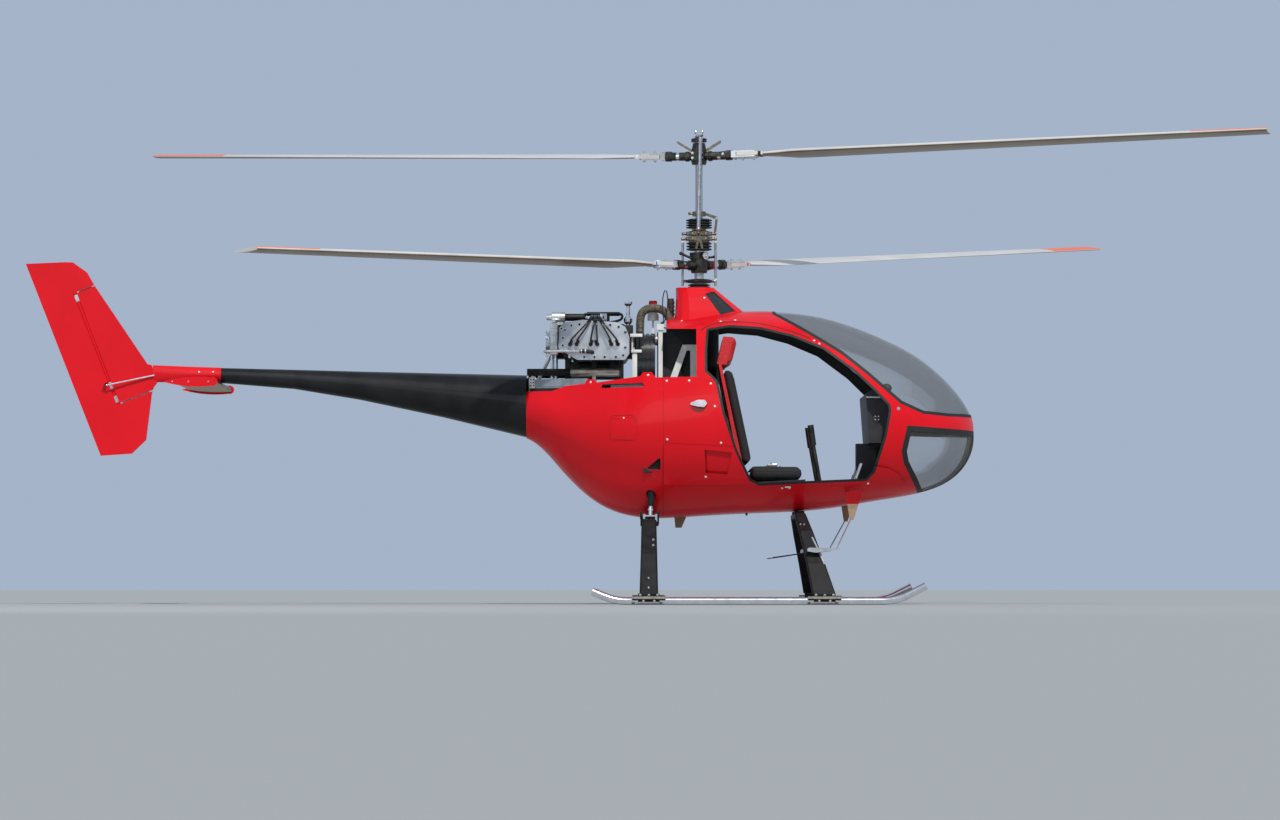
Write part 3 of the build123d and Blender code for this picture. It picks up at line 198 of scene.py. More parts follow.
# %% A helper for finishes
EVEN = (1.0, 1.0, 1.0)
BLEND_FROM, BLEND_TO = 0.35, 0.65
COAT_ROUGHNESS = 0.04
BUMP_STRENGTH = 0.6


def object_place(tree):
    return add_node(tree, "TexCoord").outputs["Object"]


def noise_of(tree, scale, detail=4.0, stretch=EVEN):
    turn = add_node(tree, "Mapping", {"Scale": stretch, "Vector": object_place(tree)})
    noise = add_node(tree, "TexNoise", {"Scale": scale, "Detail": detail, "Vector": turn.outputs["Vector"]})
    return noise.outputs["Fac"]


def ramp_of(tree, pattern, low, high):
    """Turn a 0 to 1 pattern into a blend between two colours."""
    ramp = add_node(tree, "ValToRGB", {"Fac": pattern})
    for element, position, colour in zip(ramp.color_ramp.elements, (BLEND_FROM, BLEND_TO), (low, high)):
        element.position = position
        element.color = (*colour, 1.0)
    return ramp.outputs["Color"]


def finish(name, low, high, rough=(0.3, 0.4), metallic=0.0, scale=20.0, bump=0.0, bump_scale=200.0, coat=0.0,
           stretch=EVEN, shine=0.5):
    """A shader whose colour drifts between two tones, with its own gloss range and fine bumps in millimetres."""
    material, tree, shader = shader_of(name)
    pattern = noise_of(tree, scale, stretch=stretch)
    gloss = add_node(tree, "MapRange", {"To Min": rough[0], "To Max": rough[1], "Value": pattern})
    wire(tree, shader, {"Base Color": ramp_of(tree, pattern, low, high), "Roughness": gloss.outputs["Result"],
                        "Metallic": metallic, "Specular IOR Level": shine, "Coat Weight": coat,
                        "Coat Roughness": COAT_ROUGHNESS})
    if bump:
        grain = noise_of(tree, bump_scale, 2.0, stretch)
        height = add_node(tree, "Bump", {"Distance": bump / 1000.0, "Strength": BUMP_STRENGTH, "Height": grain})
        wire(tree, shader, {"Normal": height.outputs["Normal"]})
    return material


# %% The finishes
red_paint = finish("red paint", (0.64, 0.003, 0.009), (0.7, 0.004, 0.012), (0.3, 0.36), scale=3.0, coat=0.15,
                   shine=0.18)
carbon_black = finish("carbon black", (0.009, 0.009, 0.01), (0.015, 0.015, 0.017), (0.26, 0.36), scale=8.0,
                      bump=0.1, bump_scale=150.0, coat=0.1, shine=0.15)
LEG_TONES = ((0.01, 0.01, 0.011), (0.018, 0.018, 0.02))
leg_black = finish("leg black", *LEG_TONES, (0.42, 0.55), bump=0.1, shine=0.12)
rubber_black = finish("rubber", (0.008, 0.008, 0.008), (0.014, 0.014, 0.014), (0.55, 0.7), bump=0.2)
lead_black = finish("lead sheath", (0.006, 0.006, 0.007), (0.012, 0.012, 0.013), (0.18, 0.3))
polished = finish("polished aluminium", (0.74, 0.75, 0.76), (0.84, 0.85, 0.86), (0.12, 0.22), 1.0, 30.0)
cast_metal = finish("cast aluminium", (0.56, 0.58, 0.6), (0.74, 0.75, 0.76), (0.32, 0.48), 0.7, 14.0, 0.25, 260.0)
head_metal = finish("head casting", (0.33, 0.35, 0.38), (0.82, 0.83, 0.84), (0.22, 0.42), 0.8, 4.5, 0.25, 260.0)
drum_black = finish("drum black", (0.01, 0.01, 0.011), (0.03, 0.03, 0.032), (0.2, 0.3), scale=2.0, shine=0.6)
steel = finish("bare steel", (0.4, 0.4, 0.41), (0.56, 0.56, 0.57), (0.22, 0.38), 1.0, 40.0)
mast_steel = finish("mast steel", (0.4, 0.41, 0.42), (0.52, 0.53, 0.54), (0.25, 0.35), 0.7, 30.0,
                    stretch=(1.0, 1.0, 0.1))
bolt_steel = finish("bolt steel", (0.6, 0.6, 0.6), (0.75, 0.75, 0.74), (0.22, 0.34), 0.9)
dark_metal = finish("dark metal", (0.022, 0.022, 0.02), (0.055, 0.052, 0.044), (0.3, 0.5), 0.6)
grip_dark = finish("grip metal", (0.03, 0.029, 0.026), (0.085, 0.08, 0.066), (0.28, 0.42), 0.7, 40.0)
bronze = finish("bronze", (0.16, 0.13, 0.085), (0.28, 0.235, 0.155), (0.3, 0.45), 0.9, 60.0)
muffler_steel = finish("warm steel", (0.3, 0.255, 0.21), (0.5, 0.445, 0.38), (0.28, 0.42), 0.9, 14.0,
                       stretch=(1.0, 1.0, 3.0))
white_paint = finish("white paint", (0.66, 0.66, 0.64), (0.76, 0.76, 0.74), (0.35, 0.45))
clear_white = finish("bottle white", (0.7, 0.7, 0.67), (0.8, 0.8, 0.76), (0.25, 0.35))
cap_red = finish("cap red", (0.55, 0.008, 0.008), (0.65, 0.012, 0.012), (0.35, 0.45))
lining_black = finish("lining", (0.008, 0.008, 0.009), (0.02, 0.02, 0.022), (0.6, 0.75), bump=0.3)
dash_black = finish("dash", (0.01, 0.01, 0.012), (0.02, 0.02, 0.023), (0.5, 0.65), bump=0.3, bump_scale=600.0)
deck_metal = finish("deck", (0.22, 0.27, 0.31), (0.34, 0.39, 0.43), (0.35, 0.5), 0.5)
cloth_black = finish("seat cloth", (0.008, 0.008, 0.009), (0.02, 0.02, 0.021), (0.8, 0.9), 0.0, 220.0, 0.6, 900.0)
leather_red = finish("red leather", (0.5, 0.01, 0.014), (0.62, 0.02, 0.024), (0.42, 0.55), 0.0, 90.0, 0.5, 500.0)
webbing = finish("webbing", (0.01, 0.01, 0.011), (0.03, 0.03, 0.031), (0.7, 0.85), 0.0, 500.0, 0.4, 1200.0)
hose_olive = finish("hose", (0.075, 0.066, 0.042), (0.155, 0.138, 0.095), (0.45, 0.6), 0.0, 50.0, 0.4)
canister_brown = finish("canister", (0.02, 0.016, 0.013), (0.1, 0.055, 0.035), (0.4, 0.55), scale=18.0)
under_olive = finish("underside", (0.17, 0.125, 0.07), (0.24, 0.185, 0.11), (0.35, 0.5), scale=12.0)
# The stabilizer's tan underside is painted shade and a painted reflection of a brown ground.
stabilizer_under_reflection = finish("stabilizer underside reflection", (0.3, 0.235, 0.13), (0.4, 0.32, 0.19), (0.4, 0.55), scale=9.0)
tape_blue = finish("blue tape", (0.02, 0.12, 0.55), (0.03, 0.17, 0.65), (0.4, 0.5))
tape_red = finish("red tape", (0.6, 0.01, 0.012), (0.7, 0.016, 0.018), (0.4, 0.5))
# Painted shade: a darker red for the access panel's groove line and the handle recesses.
shadowed_red = finish("shadowed red", (0.16, 0.002, 0.003), (0.2, 0.003, 0.004), (0.4, 0.5))
# Painted shade: a near-black red for strips that lie in the gaps at the rudder's horns.
gap_shade_red = finish("horn gap shade", (0.045, 0.002, 0.003), (0.07, 0.003, 0.004), (0.6, 0.7))
print("finishes:", len(bpy.data.materials))

# %% [markdown]
# ## Finishes that change with height
# The stay bracket is red where it is bonded to the hull and beige below. Its red is darker than the hull's paint:
# painted shade, as the belly around it lies in shade. The pin bar on each shoe is bare metal only along its middle.
# The height comes from the Object coordinate, so no face has to be cut for it.

# %% Two tones by height


TONE_PATTERN = 25.0


def two_tone(name, within, beyond, low, high, metal):
    """One finish between two heights and another above and below them."""
    material, tree, shader = shader_of(name)
    height = add_node(tree, "SeparateXYZ", {0: object_place(tree)}).outputs["Z"]
    above, under = [add_node(tree, "Math", {0: height, 1: bound}, operation=kind).outputs[0]
                    for kind, bound in (("GREATER_THAN", low), ("LESS_THAN", high))]
    inside = add_node(tree, "Math", {0: above, 1: under}, operation="MULTIPLY").outputs[0]
    outer, inner = [ramp_of(tree, noise_of(tree, TONE_PATTERN), *tones) for tones in (beyond, within)]
    mix = add_node(tree, "Mix", {"Factor": inside, "A": outer, "B": inner}, data_type="RGBA")
    metallic = add_node(tree, "Math", {0: inside, 1: metal}, operation="MULTIPLY")
    wire(tree, shader, {"Base Color": mix.outputs["Result"], "Metallic": metallic.outputs[0], "Roughness": 0.36,
                        "Specular IOR Level": 0.2})
    return material


OLIVE = ((0.27, 0.185, 0.125), (0.36, 0.26, 0.18))
# A darker red than the hull's paint: painted shade of the belly, for the top of the stay bracket.
SHADED_HULL_RED = ((0.27, 0.002, 0.004), (0.33, 0.002, 0.005))
BAR_BRONZE = ((0.42, 0.36, 0.28), (0.6, 0.54, 0.45))
stay_paint = two_tone("stay bracket", OLIVE, SHADED_HULL_RED, -1.0, 0.562, 0.0)
pin_bar = two_tone("pin bar", BAR_BRONZE, LEG_TONES, 0.0325, 0.0455, 0.9)
print("two-tone finishes:", stay_paint.name, "and", pin_bar.name)

# %% [markdown]
# ## Tinted glass
# The windscreen is a thin curved pane, tinted grey. A see-through share in Alpha lets the sky come through, and
# Fresnel raises it at the edges, where a real pane mirrors more than it lets through.

# %% Glass


def tinted_glass(name, colour, cover):
    material, tree, shader = shader_of(name)
    fresnel = add_node(tree, "Fresnel", {"IOR": 1.4})
    share = add_node(tree, "MapRange", {"To Min": cover, "To Max": 0.45, "Value": fresnel.outputs["Fac"]})
    wire(tree, shader, {"Base Color": (*colour, 1.0), "Roughness": 0.03, "Alpha": share.outputs["Result"]})
    return material


screen_glass = tinted_glass("windscreen glass", (0.15, 0.155, 0.16), 0.13)
chin_glass = tinted_glass("chin glass", (0.19, 0.19, 0.18), 0.12)
fairing_glass = tinted_glass("fairing glass", (0.03, 0.032, 0.035), 0.62)
print("glass:", [glass.name for glass in (screen_glass, chin_glass, fairing_glass)])

# %% [markdown]
# ## Blade paint
# The blades are pale grey with an orange tip band, so the colour has to know how far from the mast it is.
# The length of the flat part of the Object coordinate, measured from the mast axis, gives that distance. Their brown
# undersides are painted shade and a painted reflection of a brown ground.

# %% Blades
TIP_FROM = 2.82
ORANGE = (0.9, 0.13, 0.012, 1.0)
BLADE_TONES = ((0.56, 0.55, 0.54), (0.64, 0.63, 0.62))
BLADE_PATTERN = 6.0


def blade_paint(name, low, high):
    material, tree, shader = shader_of(name)
    flat = add_node(tree, "Mapping", {"Location": (-MAST_X, -MAST_Y, 0.0), "Scale": (1.0, 1.0, 0.0),
                                      "Vector": object_place(tree)})
    length = add_node(tree, "VectorMath", {0: flat.outputs["Vector"]}, operation="LENGTH")
    tip = add_node(tree, "Math", {0: length.outputs["Value"], 1: TIP_FROM}, operation="GREATER_THAN")
    grey = ramp_of(tree, noise_of(tree, BLADE_PATTERN), low, high)
    mix = add_node(tree, "Mix", {"Factor": tip.outputs[0], "A": grey, "B": ORANGE}, data_type="RGBA")
    wire(tree, shader, {"Base Color": mix.outputs["Result"], "Roughness": 0.32})
    return material


blade_top = blade_paint("blade paint", *BLADE_TONES)
blade_edge = finish("blade edge", *BLADE_TONES, (0.28, 0.36), scale=BLADE_PATTERN)
# The brown of the undersides is painted shade and a painted reflection of a brown ground.
blade_under_reflection = finish("blade underside reflection", (0.155, 0.115, 0.068), (0.225, 0.17, 0.105), (0.28, 0.38),
                     scale=BLADE_PATTERN)
print("materials in all:", len(bpy.data.materials))

# %% [markdown]
# ## Dressing the frame
# A CAD piece keeps its shape. Only its material slots change here. Some pieces have two finishes, such as the hull,
# which is red outside and black inside, so a rule on a face's middle and its normal picks the slot.

# %% Dress the nodes
BLADES = "lower_blade_front lower_blade_rear upper_blade_front upper_blade_rear"
DRESS = (
    (red_paint, "cabin_shell rear_hull mast_fairing tail_fin rudder stabilizer_caps"),
    (leather_red, "seat_shells"),
    (carbon_black, "tail_boom stabilizer"),
    (rubber_black, "window_seals door_seals swash_base"),
    (screen_glass, "windscreen"),
    (chin_glass, "chin_windows"),
    (fairing_glass, "fairing_windows"),
    (canister_brown, "breather"),
    (steel, "side_handles trim_rods"),
    (lining_black, "cabin_floor firewall"),
    (dash_black, "dash_console"),
    (deck_metal, "engine_deck"),
    (dark_metal, "engine_block flight_controls lower_hub upper_hub top_plate"),
    (head_metal, "cylinder_heads"),
    (muffler_steel, "exhausts"),
    (bolt_steel, "starter_motor boarding_steps"),
    (drum_black, "drive_drum"),
    (hose_olive, "air_hose"),
    (clear_white, "coolant_bottle"),
    (polished, "filler_neck rudder_pushrod skids shock_struts"),
    (cast_metal, "gearbox pedals"),
    (white_paint, "mast_frame"),
    (cloth_black, "seat_cushions seat_backs"),
    (leg_black, "rear_legs front_legs skid_shoes"),
    (under_olive, "aerials"),
    (mast_steel, "outer_mast inner_mast"),
    (grip_dark, "lower_grips upper_grips"),
    (bronze, "lower_swashplate upper_swashplate counterweights scissor_link"),
    (blade_edge, BLADES),
)
dressed = set()
for material, names in DRESS:
    for node in names.split():
        dressed.add(node)
        for entry in nodes[node].material_slots:
            entry.material = material
print("undressed:", sorted(set(nodes) - dressed))

# %% Second finishes
HULL_MIDDLE_Z = 1.05
GRIP_END = 0.198
HINGE_LOW = Vector((-3.302, 0.0, 1.14))
HINGE_HIGH = Vector((-3.549, 0.0, 1.764))
HINGE_SHARES = (0.04, 0.165, 0.96)
hinge_up = (HINGE_HIGH - HINGE_LOW).normalized()
hinge_ahead = Vector((hinge_up.z, 0.0, -hinge_up.x))


def second_finish(names, material, chosen):
    """Give the faces that chosen(middle, normal) picks, measured about the mast axis, another finish."""
    for name in names.split():
        mesh = nodes[name].data
        mesh.materials.append(material)
        last = len(mesh.materials) - 1
        count = 0
        for polygon in mesh.polygons:
            if chosen(polygon.center - Vector((MAST_X, MAST_Y, 0.0)), polygon.normal):
                polygon.material_index = last
                count += 1
        print(name, "faces in", material.name + ":", count)


def looks_inward(middle, normal):
    return normal.y * middle.y + normal.z * (middle.z - HULL_MIDDLE_Z) < -0.1


def ring_radius(middle):
    return math.hypot(middle.x, middle.y)


def on_a_lug(middle, normal):
    """Whether a face belongs to one of the lugs round the rudder's three hinge pins."""
    for share in HINGE_SHARES:
        offset = middle - HINGE_LOW.lerp(HINGE_HIGH, share)
        if abs(offset.dot(hinge_up)) < 0.0165 and -0.01 < offset.dot(hinge_ahead) < 0.027 and abs(offset.y) < 0.0055:
            return True
    return False


second_finish("cabin_shell rear_hull", lining_black, looks_inward)
second_finish("mast_fairing", lining_black, lambda m, n: n.y * m.y + n.x * (m.x - 0.05) < -0.02)
second_finish("coolant_bottle", cap_red, lambda m, n: m.z > 1.699)
second_finish("starter_motor", lead_black, lambda m, n: m.x > -0.762 and m.z > 1.6)
second_finish("exhausts", leg_black, lambda m, n: m.x < -0.728 or m.z > 1.339)
second_finish("engine_block", polished, lambda m, n: m.x < -0.846)
second_finish("engine_block", lead_black, lambda m, n: m.z > 1.584)
# Faces of the stabilizer that look down take the painted shade and ground reflection.
second_finish("stabilizer", stabilizer_under_reflection, lambda m, n: n.z < -0.3)
second_finish("shock_struts", leg_black, lambda m, n: m.z > 0.553 and abs(m.y) < 0.45)
second_finish("upper_swashplate", rubber_black, lambda m, n: m.z > 2.1355 and ring_radius(m) > 0.045)
second_finish("lower_swashplate", rubber_black, lambda m, n: 2.008 < m.z < 2.0605 and 0.04 < ring_radius(m) < 0.0725)
second_finish("lower_swashplate", steel, lambda m, n: abs(abs(m.x) - 0.094) < 0.009 and abs(m.y) < 0.009)
second_finish("lower_swashplate", dark_metal, lambda m, n: m.z < 1.88 and ring_radius(m) < 0.085)
second_finish("skid_shoes", pin_bar, lambda m, n: abs(m.y) > 0.8305 and m.z < 0.0505)
second_finish("top_plate", polished, lambda m, n: m.z > 2.664)
second_finish("seat_shells", lining_black, lambda m, n: m.z < 0.702 and m.x > 0.275)
second_finish("upper_grips lower_grips", cast_metal, lambda m, n: ring_radius(m) > GRIP_END)
# The stay bracket's top takes the red with the belly's painted shade in it.
second_finish("boarding_steps", stay_paint, lambda m, n: abs(m.y) < 0.4345 and m.z > 0.46)
second_finish("tail_fin rudder", bolt_steel, on_a_lug)
second_finish(BLADES, blade_top, lambda m, n: n.z > 0.5)
# Faces that look down take the painted shade and ground reflection.
second_finish(BLADES, blade_under_reflection, lambda m, n: n.z < -0.2)

# %% [markdown]
# ## Helpers for pieces
# A piece begins as a bmesh, which is a mesh that operators can change. These helpers turn one into an object that
# stands at the origin, copy a small shape such as a bolt to many places, and find where a line meets a solid.
# That last one makes sure that a screw seats on the curved hull, and isn't left hanging beside it.

# %% From bmesh to object
USUAL_SLOTS = {
    "red_paint": (red_paint, shadowed_red, gap_shade_red, cap_red, tape_red, leather_red), "blade_paint": (tape_blue,),
    "white_plastic": (clear_white,), "white_paint": (white_paint,), "black_rubber": (rubber_black, lead_black),
    "black_satin": (leg_black, lining_black, dash_black), "black_fabric": (webbing, cloth_black),
    "hose_rubber": (hose_olive,), "steel": (bolt_steel,), "polished_aluminium": (polished,),
    "bare_aluminium": (cast_metal, dark_metal, deck_metal),
}
SLOTS = {material: slot for slot, group in USUAL_SLOTS.items() for material in group}
PIPE_CREASE = 60.0


def at(x, y, z):
    """A place measured about the mast axis."""
    return Vector((MAST_X + x, MAST_Y + y, z))


def up(height):
    return Vector((0, 0, height))


def blank_forms(count):
    return [bmesh.new() for _ in range(count)]


def cover(piece, material):
    piece.data.materials.append(material)
    for polygon in piece.data.polygons:
        polygon.use_smooth = True


def finish_form(name, form, material, slot=None, body="airframe", crease=35.0):
    """Make the form a piece on its body. Its slot, the usual one of its finish unless another is named, is looked up
    but not kept.
    """
    bmesh.ops.recalc_face_normals(form, faces=form.faces[:])
    mesh = bpy.data.meshes.new(name)
    form.to_mesh(mesh)
    form.free()
    piece = bpy.data.objects.new(name, mesh)
    scene.collection.objects.link(piece)
    cover(piece, material)
    mesh.set_sharp_from_angle(angle=math.radians(crease))
    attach(piece, body)
    slot or SLOTS[material]
    return piece


def facing(point, direction):
    """The matrix that stands a shape made along Z on a point, looking in a direction."""
    turn = Vector(direction).normalized().to_track_quat("Z", "Y").to_matrix().to_4x4()
    return Matrix.Translation(point) @ turn


def add_block(form, corner, opposite, bevel=0.0, matrix=None):
    """A block between two opposite corners with its edges rounded off."""
    low = Vector([min(pair) for pair in zip(corner, opposite)])
    high = Vector([max(pair) for pair in zip(corner, opposite)])
    verts = bmesh.ops.create_cube(form, size=1.0)["verts"]
    size = Matrix.Diagonal((*(high - low), 1.0))
    bmesh.ops.transform(form, matrix=Matrix.Translation((low + high) / 2) @ size, verts=verts)
    if bevel:
        edges = list({edge for vert in verts for edge in vert.link_edges})
        rounded = bmesh.ops.bevel(form, geom=edges, offset=bevel, segments=2, profile=0.5, affect="EDGES",
                                  material=-1)
        verts = list({vert for face in rounded["faces"] for vert in face.verts} | {v for v in verts if v.is_valid})
    if matrix is not None:
        bmesh.ops.transform(form, matrix=matrix, verts=verts)


def add_disc(form, point, direction, radius, height, sides=20, top=0.92):
    """A short round or many-sided stub on a point."""
    matrix = facing(point, direction) @ Matrix.Translation((0, 0, height / 2))
    bmesh.ops.create_cone(form, cap_ends=True, segments=sides, radius1=radius, radius2=radius * top, depth=height,
                          matrix=matrix)


def add_bolt(form, point, direction, radius=0.005, height=0.006):
    """A washer with a hexagon head, and the end of the thread in its middle. Most are 10 mm wide."""
    add_disc(form, point, direction, radius * 1.4, height * 0.25, 20, 0.97)
    add_disc(form, point, direction, radius, height, 6, 0.95)
    add_disc(form, point, direction, radius * 0.45, height * 1.15, 10, 0.9)


def add_screw(form, point, direction, radius, height):
    """A low round head with a dished top."""
    add_disc(form, point, direction, radius, height * 0.5, 16, 0.95)
    add_disc(form, point, direction, radius * 0.92, height, 16, 0.7)


# %% Where a line meets a solid
OUTSIDE_Y = 2.0


def surface_of(*names):
    """One search tree of the faces of several CAD pieces."""
    points, faces = [], []
    for name in names:
        mesh = nodes[name].data
        start = len(points)
        points += [vert.co.copy() for vert in mesh.vertices]
        faces += [[start + corner for corner in polygon.vertices] for polygon in mesh.polygons]
    return BVHTree.FromPolygons(points, faces)


def beside(tree, x, z, side):
    """The outermost place on a side, at x and z about the mast axis, with its normal turned out."""
    place, normal, _, _ = tree.ray_cast(at(x, side * OUTSIDE_Y, z), Vector((0, -side, 0)))
    if place is None:
        return None, None
    return place, normal if normal.y * side > 0 else -normal


def beside_all(tree, spots):
    """Each spot of x and z that meets the solid on either side: the side, the place and its normal."""
    for side in SIDES:
        for x, z in spots:
            place, normal = beside(tree, x, z, side)
            if place is not None:
                yield side, place, normal


def below(tree, x, y, z=4.0):
    """The first place straight under a point about the mast axis."""
    return tree.ray_cast(at(x, y, z), up(-1))[0]


hull = surface_of("cabin_shell", "rear_hull", "mast_fairing")
deck = surface_of("engine_deck")
print("hull half width beside the mast:", round(abs(beside(hull, 0.0, 1.1, -1)[0].y), 3))

# %% [markdown]
# ## Pipes, leads and straps
# A pipe that is held at both ends is a curve with a round bevel: a NURBS spline passes near a few points, so a
# handful of numbers gives a smooth bend. Once made, it is turned into a mesh, as every finished piece is one.

# %% Tubes
MERGE = 0.00001


def curve_mesh(points, kind, closed=False, radii=None, **settings):
    """The mesh of a curve with one spline, with the curve's own settings for how fine and how thick it is."""
    data = bpy.data.curves.new("line", "CURVE")
    data.dimensions = "3D"
    for name, value in settings.items():
        setattr(data, name, value)
    spline = data.splines.new(kind)
    spline.points.add(len(points) - 1)
    for number, place in enumerate(points):
        spline.points[number].co = (*place, 1.0)
        spline.points[number].radius = radii[number] if radii else 1.0
    if kind == "NURBS":
        spline.order_u = min(3, len(points))
        spline.use_endpoint_u = not closed
    spline.use_cyclic_u = closed
    carrier = bpy.data.objects.new("line", data)
    mesh = bpy.data.meshes.new_from_object(carrier)
    bpy.data.objects.remove(carrier)
    return mesh


def smooth_line(points, steps=10, closed=False):
    """Points along a NURBS spline through the neighbourhood of a few points."""
    mesh = curve_mesh(points, "NURBS", closed, resolution_u=steps)
    line = [vert.co.copy() for vert in mesh.vertices]
    bpy.data.meshes.remove(mesh)
    return line


def add_tube(form, points, radius, sides=10, closed=False, radii=None):
    """A tube with closed ends along a line. Each point may have a share of the radius."""
    mesh = curve_mesh(points, "POLY", closed, radii, bevel_depth=radius, bevel_resolution=max(1, sides // 4),
                      use_fill_caps=not closed)
    form.from_mesh(mesh)
    bpy.data.meshes.remove(mesh)


def route(points, side=1):
    """Points about the mast axis, as they are or mirrored to starboard."""
    return [at(x, side * y, z) for x, y, z in points]


def both(points):
    return [route(points, side) for side in SIDES]


def tubes(name, routes, radius, material, sides=10, slot=None):
    """Several pipes of one thickness and finish in one piece."""
    form = bmesh.new()
    for points in routes:
        add_tube(form, smooth_line(points), radius, sides)
    bmesh.ops.remove_doubles(form, verts=form.verts[:], dist=MERGE)
    return finish_form(name, form, material, slot, crease=PIPE_CREASE)


def strap(name, line, across, width, thick, material, slot=None):
    """A flat band of webbing: the line is drawn sideways into a ribbon, which then gets its thickness."""
    form = bmesh.new()
    across = Vector(across).normalized() * width
    verts = [form.verts.new(Vector(place) - across / 2) for place in line]
    edges = [form.edges.new(pair) for pair in zip(verts, verts[1:])]
    wide = bmesh.ops.extrude_edge_only(form, edges=edges)
    moved = [item for item in wide["geom"] if isinstance(item, bmesh.types.BMVert)]
    bmesh.ops.translate(form, verts=moved, vec=across)
    bmesh.ops.recalc_face_normals(form, faces=form.faces[:])
    bmesh.ops.solidify(form, geom=form.faces[:], thickness=thick)
    return finish_form(name, form, material, slot)


# %% [markdown]
# ## Seat cushions and backs
# A seat pad is foam in a cloth cover: crowned on top, with sides that pull in. We start from a slightly smaller
# block, remesh it into even squares, and let Blender's cloth swell under air pressure. No point may move further
# than a cap, so the pad stays clear of its neighbours. The piping is added afterwards, as remeshing would erase it.

# %% Padded pieces
VOXEL = 0.006
SWELL_FRAMES = 20
AIR_PRESSURE = 4.0
SEAT_Y = 0.245
BACK_LEAN = (0.12 - 0.262) / (1.345 - 0.682)
BACK_LOW_X = 0.262 + (0.778 - 0.682) * BACK_LEAN
HEADREST_LEAN = 0.245


def settled(piece):
    """Keep the result of the piece's modifiers as its mesh."""
    graph = bpy.context.evaluated_depsgraph_get()
    mesh = bpy.data.meshes.new_from_object(piece.evaluated_get(graph))
    piece.modifiers.clear()
    piece.data = mesh


def swell(piece, cap):
    remesh = piece.modifiers.new("even squares", "REMESH")
    remesh.mode = "VOXEL"
    remesh.voxel_size = VOXEL
    settled(piece)
    start = [vert.co.copy() for vert in piece.data.vertices]
    cloth = piece.modifiers.new("air", "CLOTH")
    cloth.settings.use_pressure = True
    cloth.settings.uniform_pressure_force = AIR_PRESSURE
    cloth.settings.effector_weights.gravity = 0.0
    for step in range(1, SWELL_FRAMES + 1):
        scene.frame_set(step)
    settled(piece)
    scene.frame_set(1)
    for vert, place in zip(piece.data.vertices, start):
        move = vert.co - place
        if move.length > cap:
            vert.co = place + move * (cap / move.length)
    finer = piece.modifiers.new("finer", "SUBSURF")
    finer.levels = finer.render_levels = 1
    settled(piece)


def seat_on_airframe(piece, slot, node):
    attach(piece, "airframe")
    if node:
        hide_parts(node)


def pads(name, xs, half, zs, corner, lean, cap, material, node=None):
    """A pad on the starboard seat, leaning by so much X for each metre of Z, and its twin on the port seat."""
    form = bmesh.new()
    add_block(form, (xs[0], -SEAT_Y - half, zs[0]), (xs[1], -SEAT_Y + half, zs[1]), corner)
    slope = Matrix.Identity(4)
    slope[0][2] = lean
    foot = Matrix.Translation(up(zs[0]))
    bmesh.ops.transform(form, matrix=Matrix.Translation(at(0, 0, 0)) @ foot @ slope @ foot.inverted(),
                        verts=form.verts[:])
    bmesh.ops.recalc_face_normals(form, faces=form.faces[:])
    mesh = bpy.data.meshes.new(name)
    form.to_mesh(mesh)
    form.free()
    piece = bpy.data.objects.new(name + "_starboard", mesh)
    scene.collection.objects.link(piece)
    swell(piece, cap)
    cover(piece, material)
    seat_on_airframe(piece, SLOTS[material], node)
    mesh = piece.data.copy()
    mesh.transform(Matrix.Translation((0, 2 * SEAT_Y, 0)))
    twin = bpy.data.objects.new(name + "_port", mesh)
    scene.collection.objects.link(twin)
    seat_on_airframe(twin, SLOTS[material], node)
    print(name, "triangles:", 2 * len(mesh.polygons))


pads("seat_cushion", (0.284, 0.578), 0.176, (0.704, 0.762), 0.022, 0.0, 0.01, cloth_black, "seat_cushions")
pads("seat_back", (BACK_LOW_X + 0.005, BACK_LOW_X + 0.042), 0.176, (0.79, 1.318), 0.015, BACK_LEAN, 0.009,
     cloth_black, "seat_backs")
pads("headrest", (0.116, 0.17), 0.12, (1.352, 1.5), 0.02, HEADREST_LEAN, 0.008, leather_red)

# %% [markdown]
# ## Piping and harness
# Piping hides the seam round a pad. Its line is laid near the pad and each point is pulled to the nearest place on
# the swollen surface. The four-point harness lies on the pad in the same way, with its buckle on the cushion.

# %% Piping, belts and buckles
PIPING_LOW, PIPING_HIGH = (0.276, -0.184), (0.586, 0.184)
PIPING_CORNER = 0.03
PIPING_Z = 0.757
BELT_WIDTH = 0.042
BELT_THICK = 0.0022
BELT_LIFT = 0.003


def pad_tree(name):
    mesh = bpy.data.objects[name].data
    return BVHTree.FromPolygons([v.co.copy() for v in mesh.vertices], [list(p.vertices) for p in mesh.polygons])


def piping(label, tree, seat_y):
    x0, x1, inset = PIPING_LOW[0], PIPING_HIGH[0], PIPING_CORNER
    y0, y1 = seat_y + PIPING_LOW[1], seat_y + PIPING_HIGH[1]
    corners = [(x0 + inset, y0), (x1 - inset, y0), (x1, y0 + inset), (x1, y1 - inset),
               (x1 - inset, y1), (x0 + inset, y1), (x0, y1 - inset), (x0, y0 + inset)]
    line = smooth_line([at(x, y, PIPING_Z) for x, y in corners], 12, closed=True)
    form = bmesh.new()
    add_tube(form, [tree.find_nearest(place)[0] for place in line], 0.0028, 8, closed=True)
    finish_form("cushion_piping_" + label, form, webbing, crease=PIPE_CREASE)


def belt(name, places, lift, across):
    line = [place + lift for place in places if place is not None]
    strap(name, line, across, BELT_WIDTH, BELT_THICK, webbing)


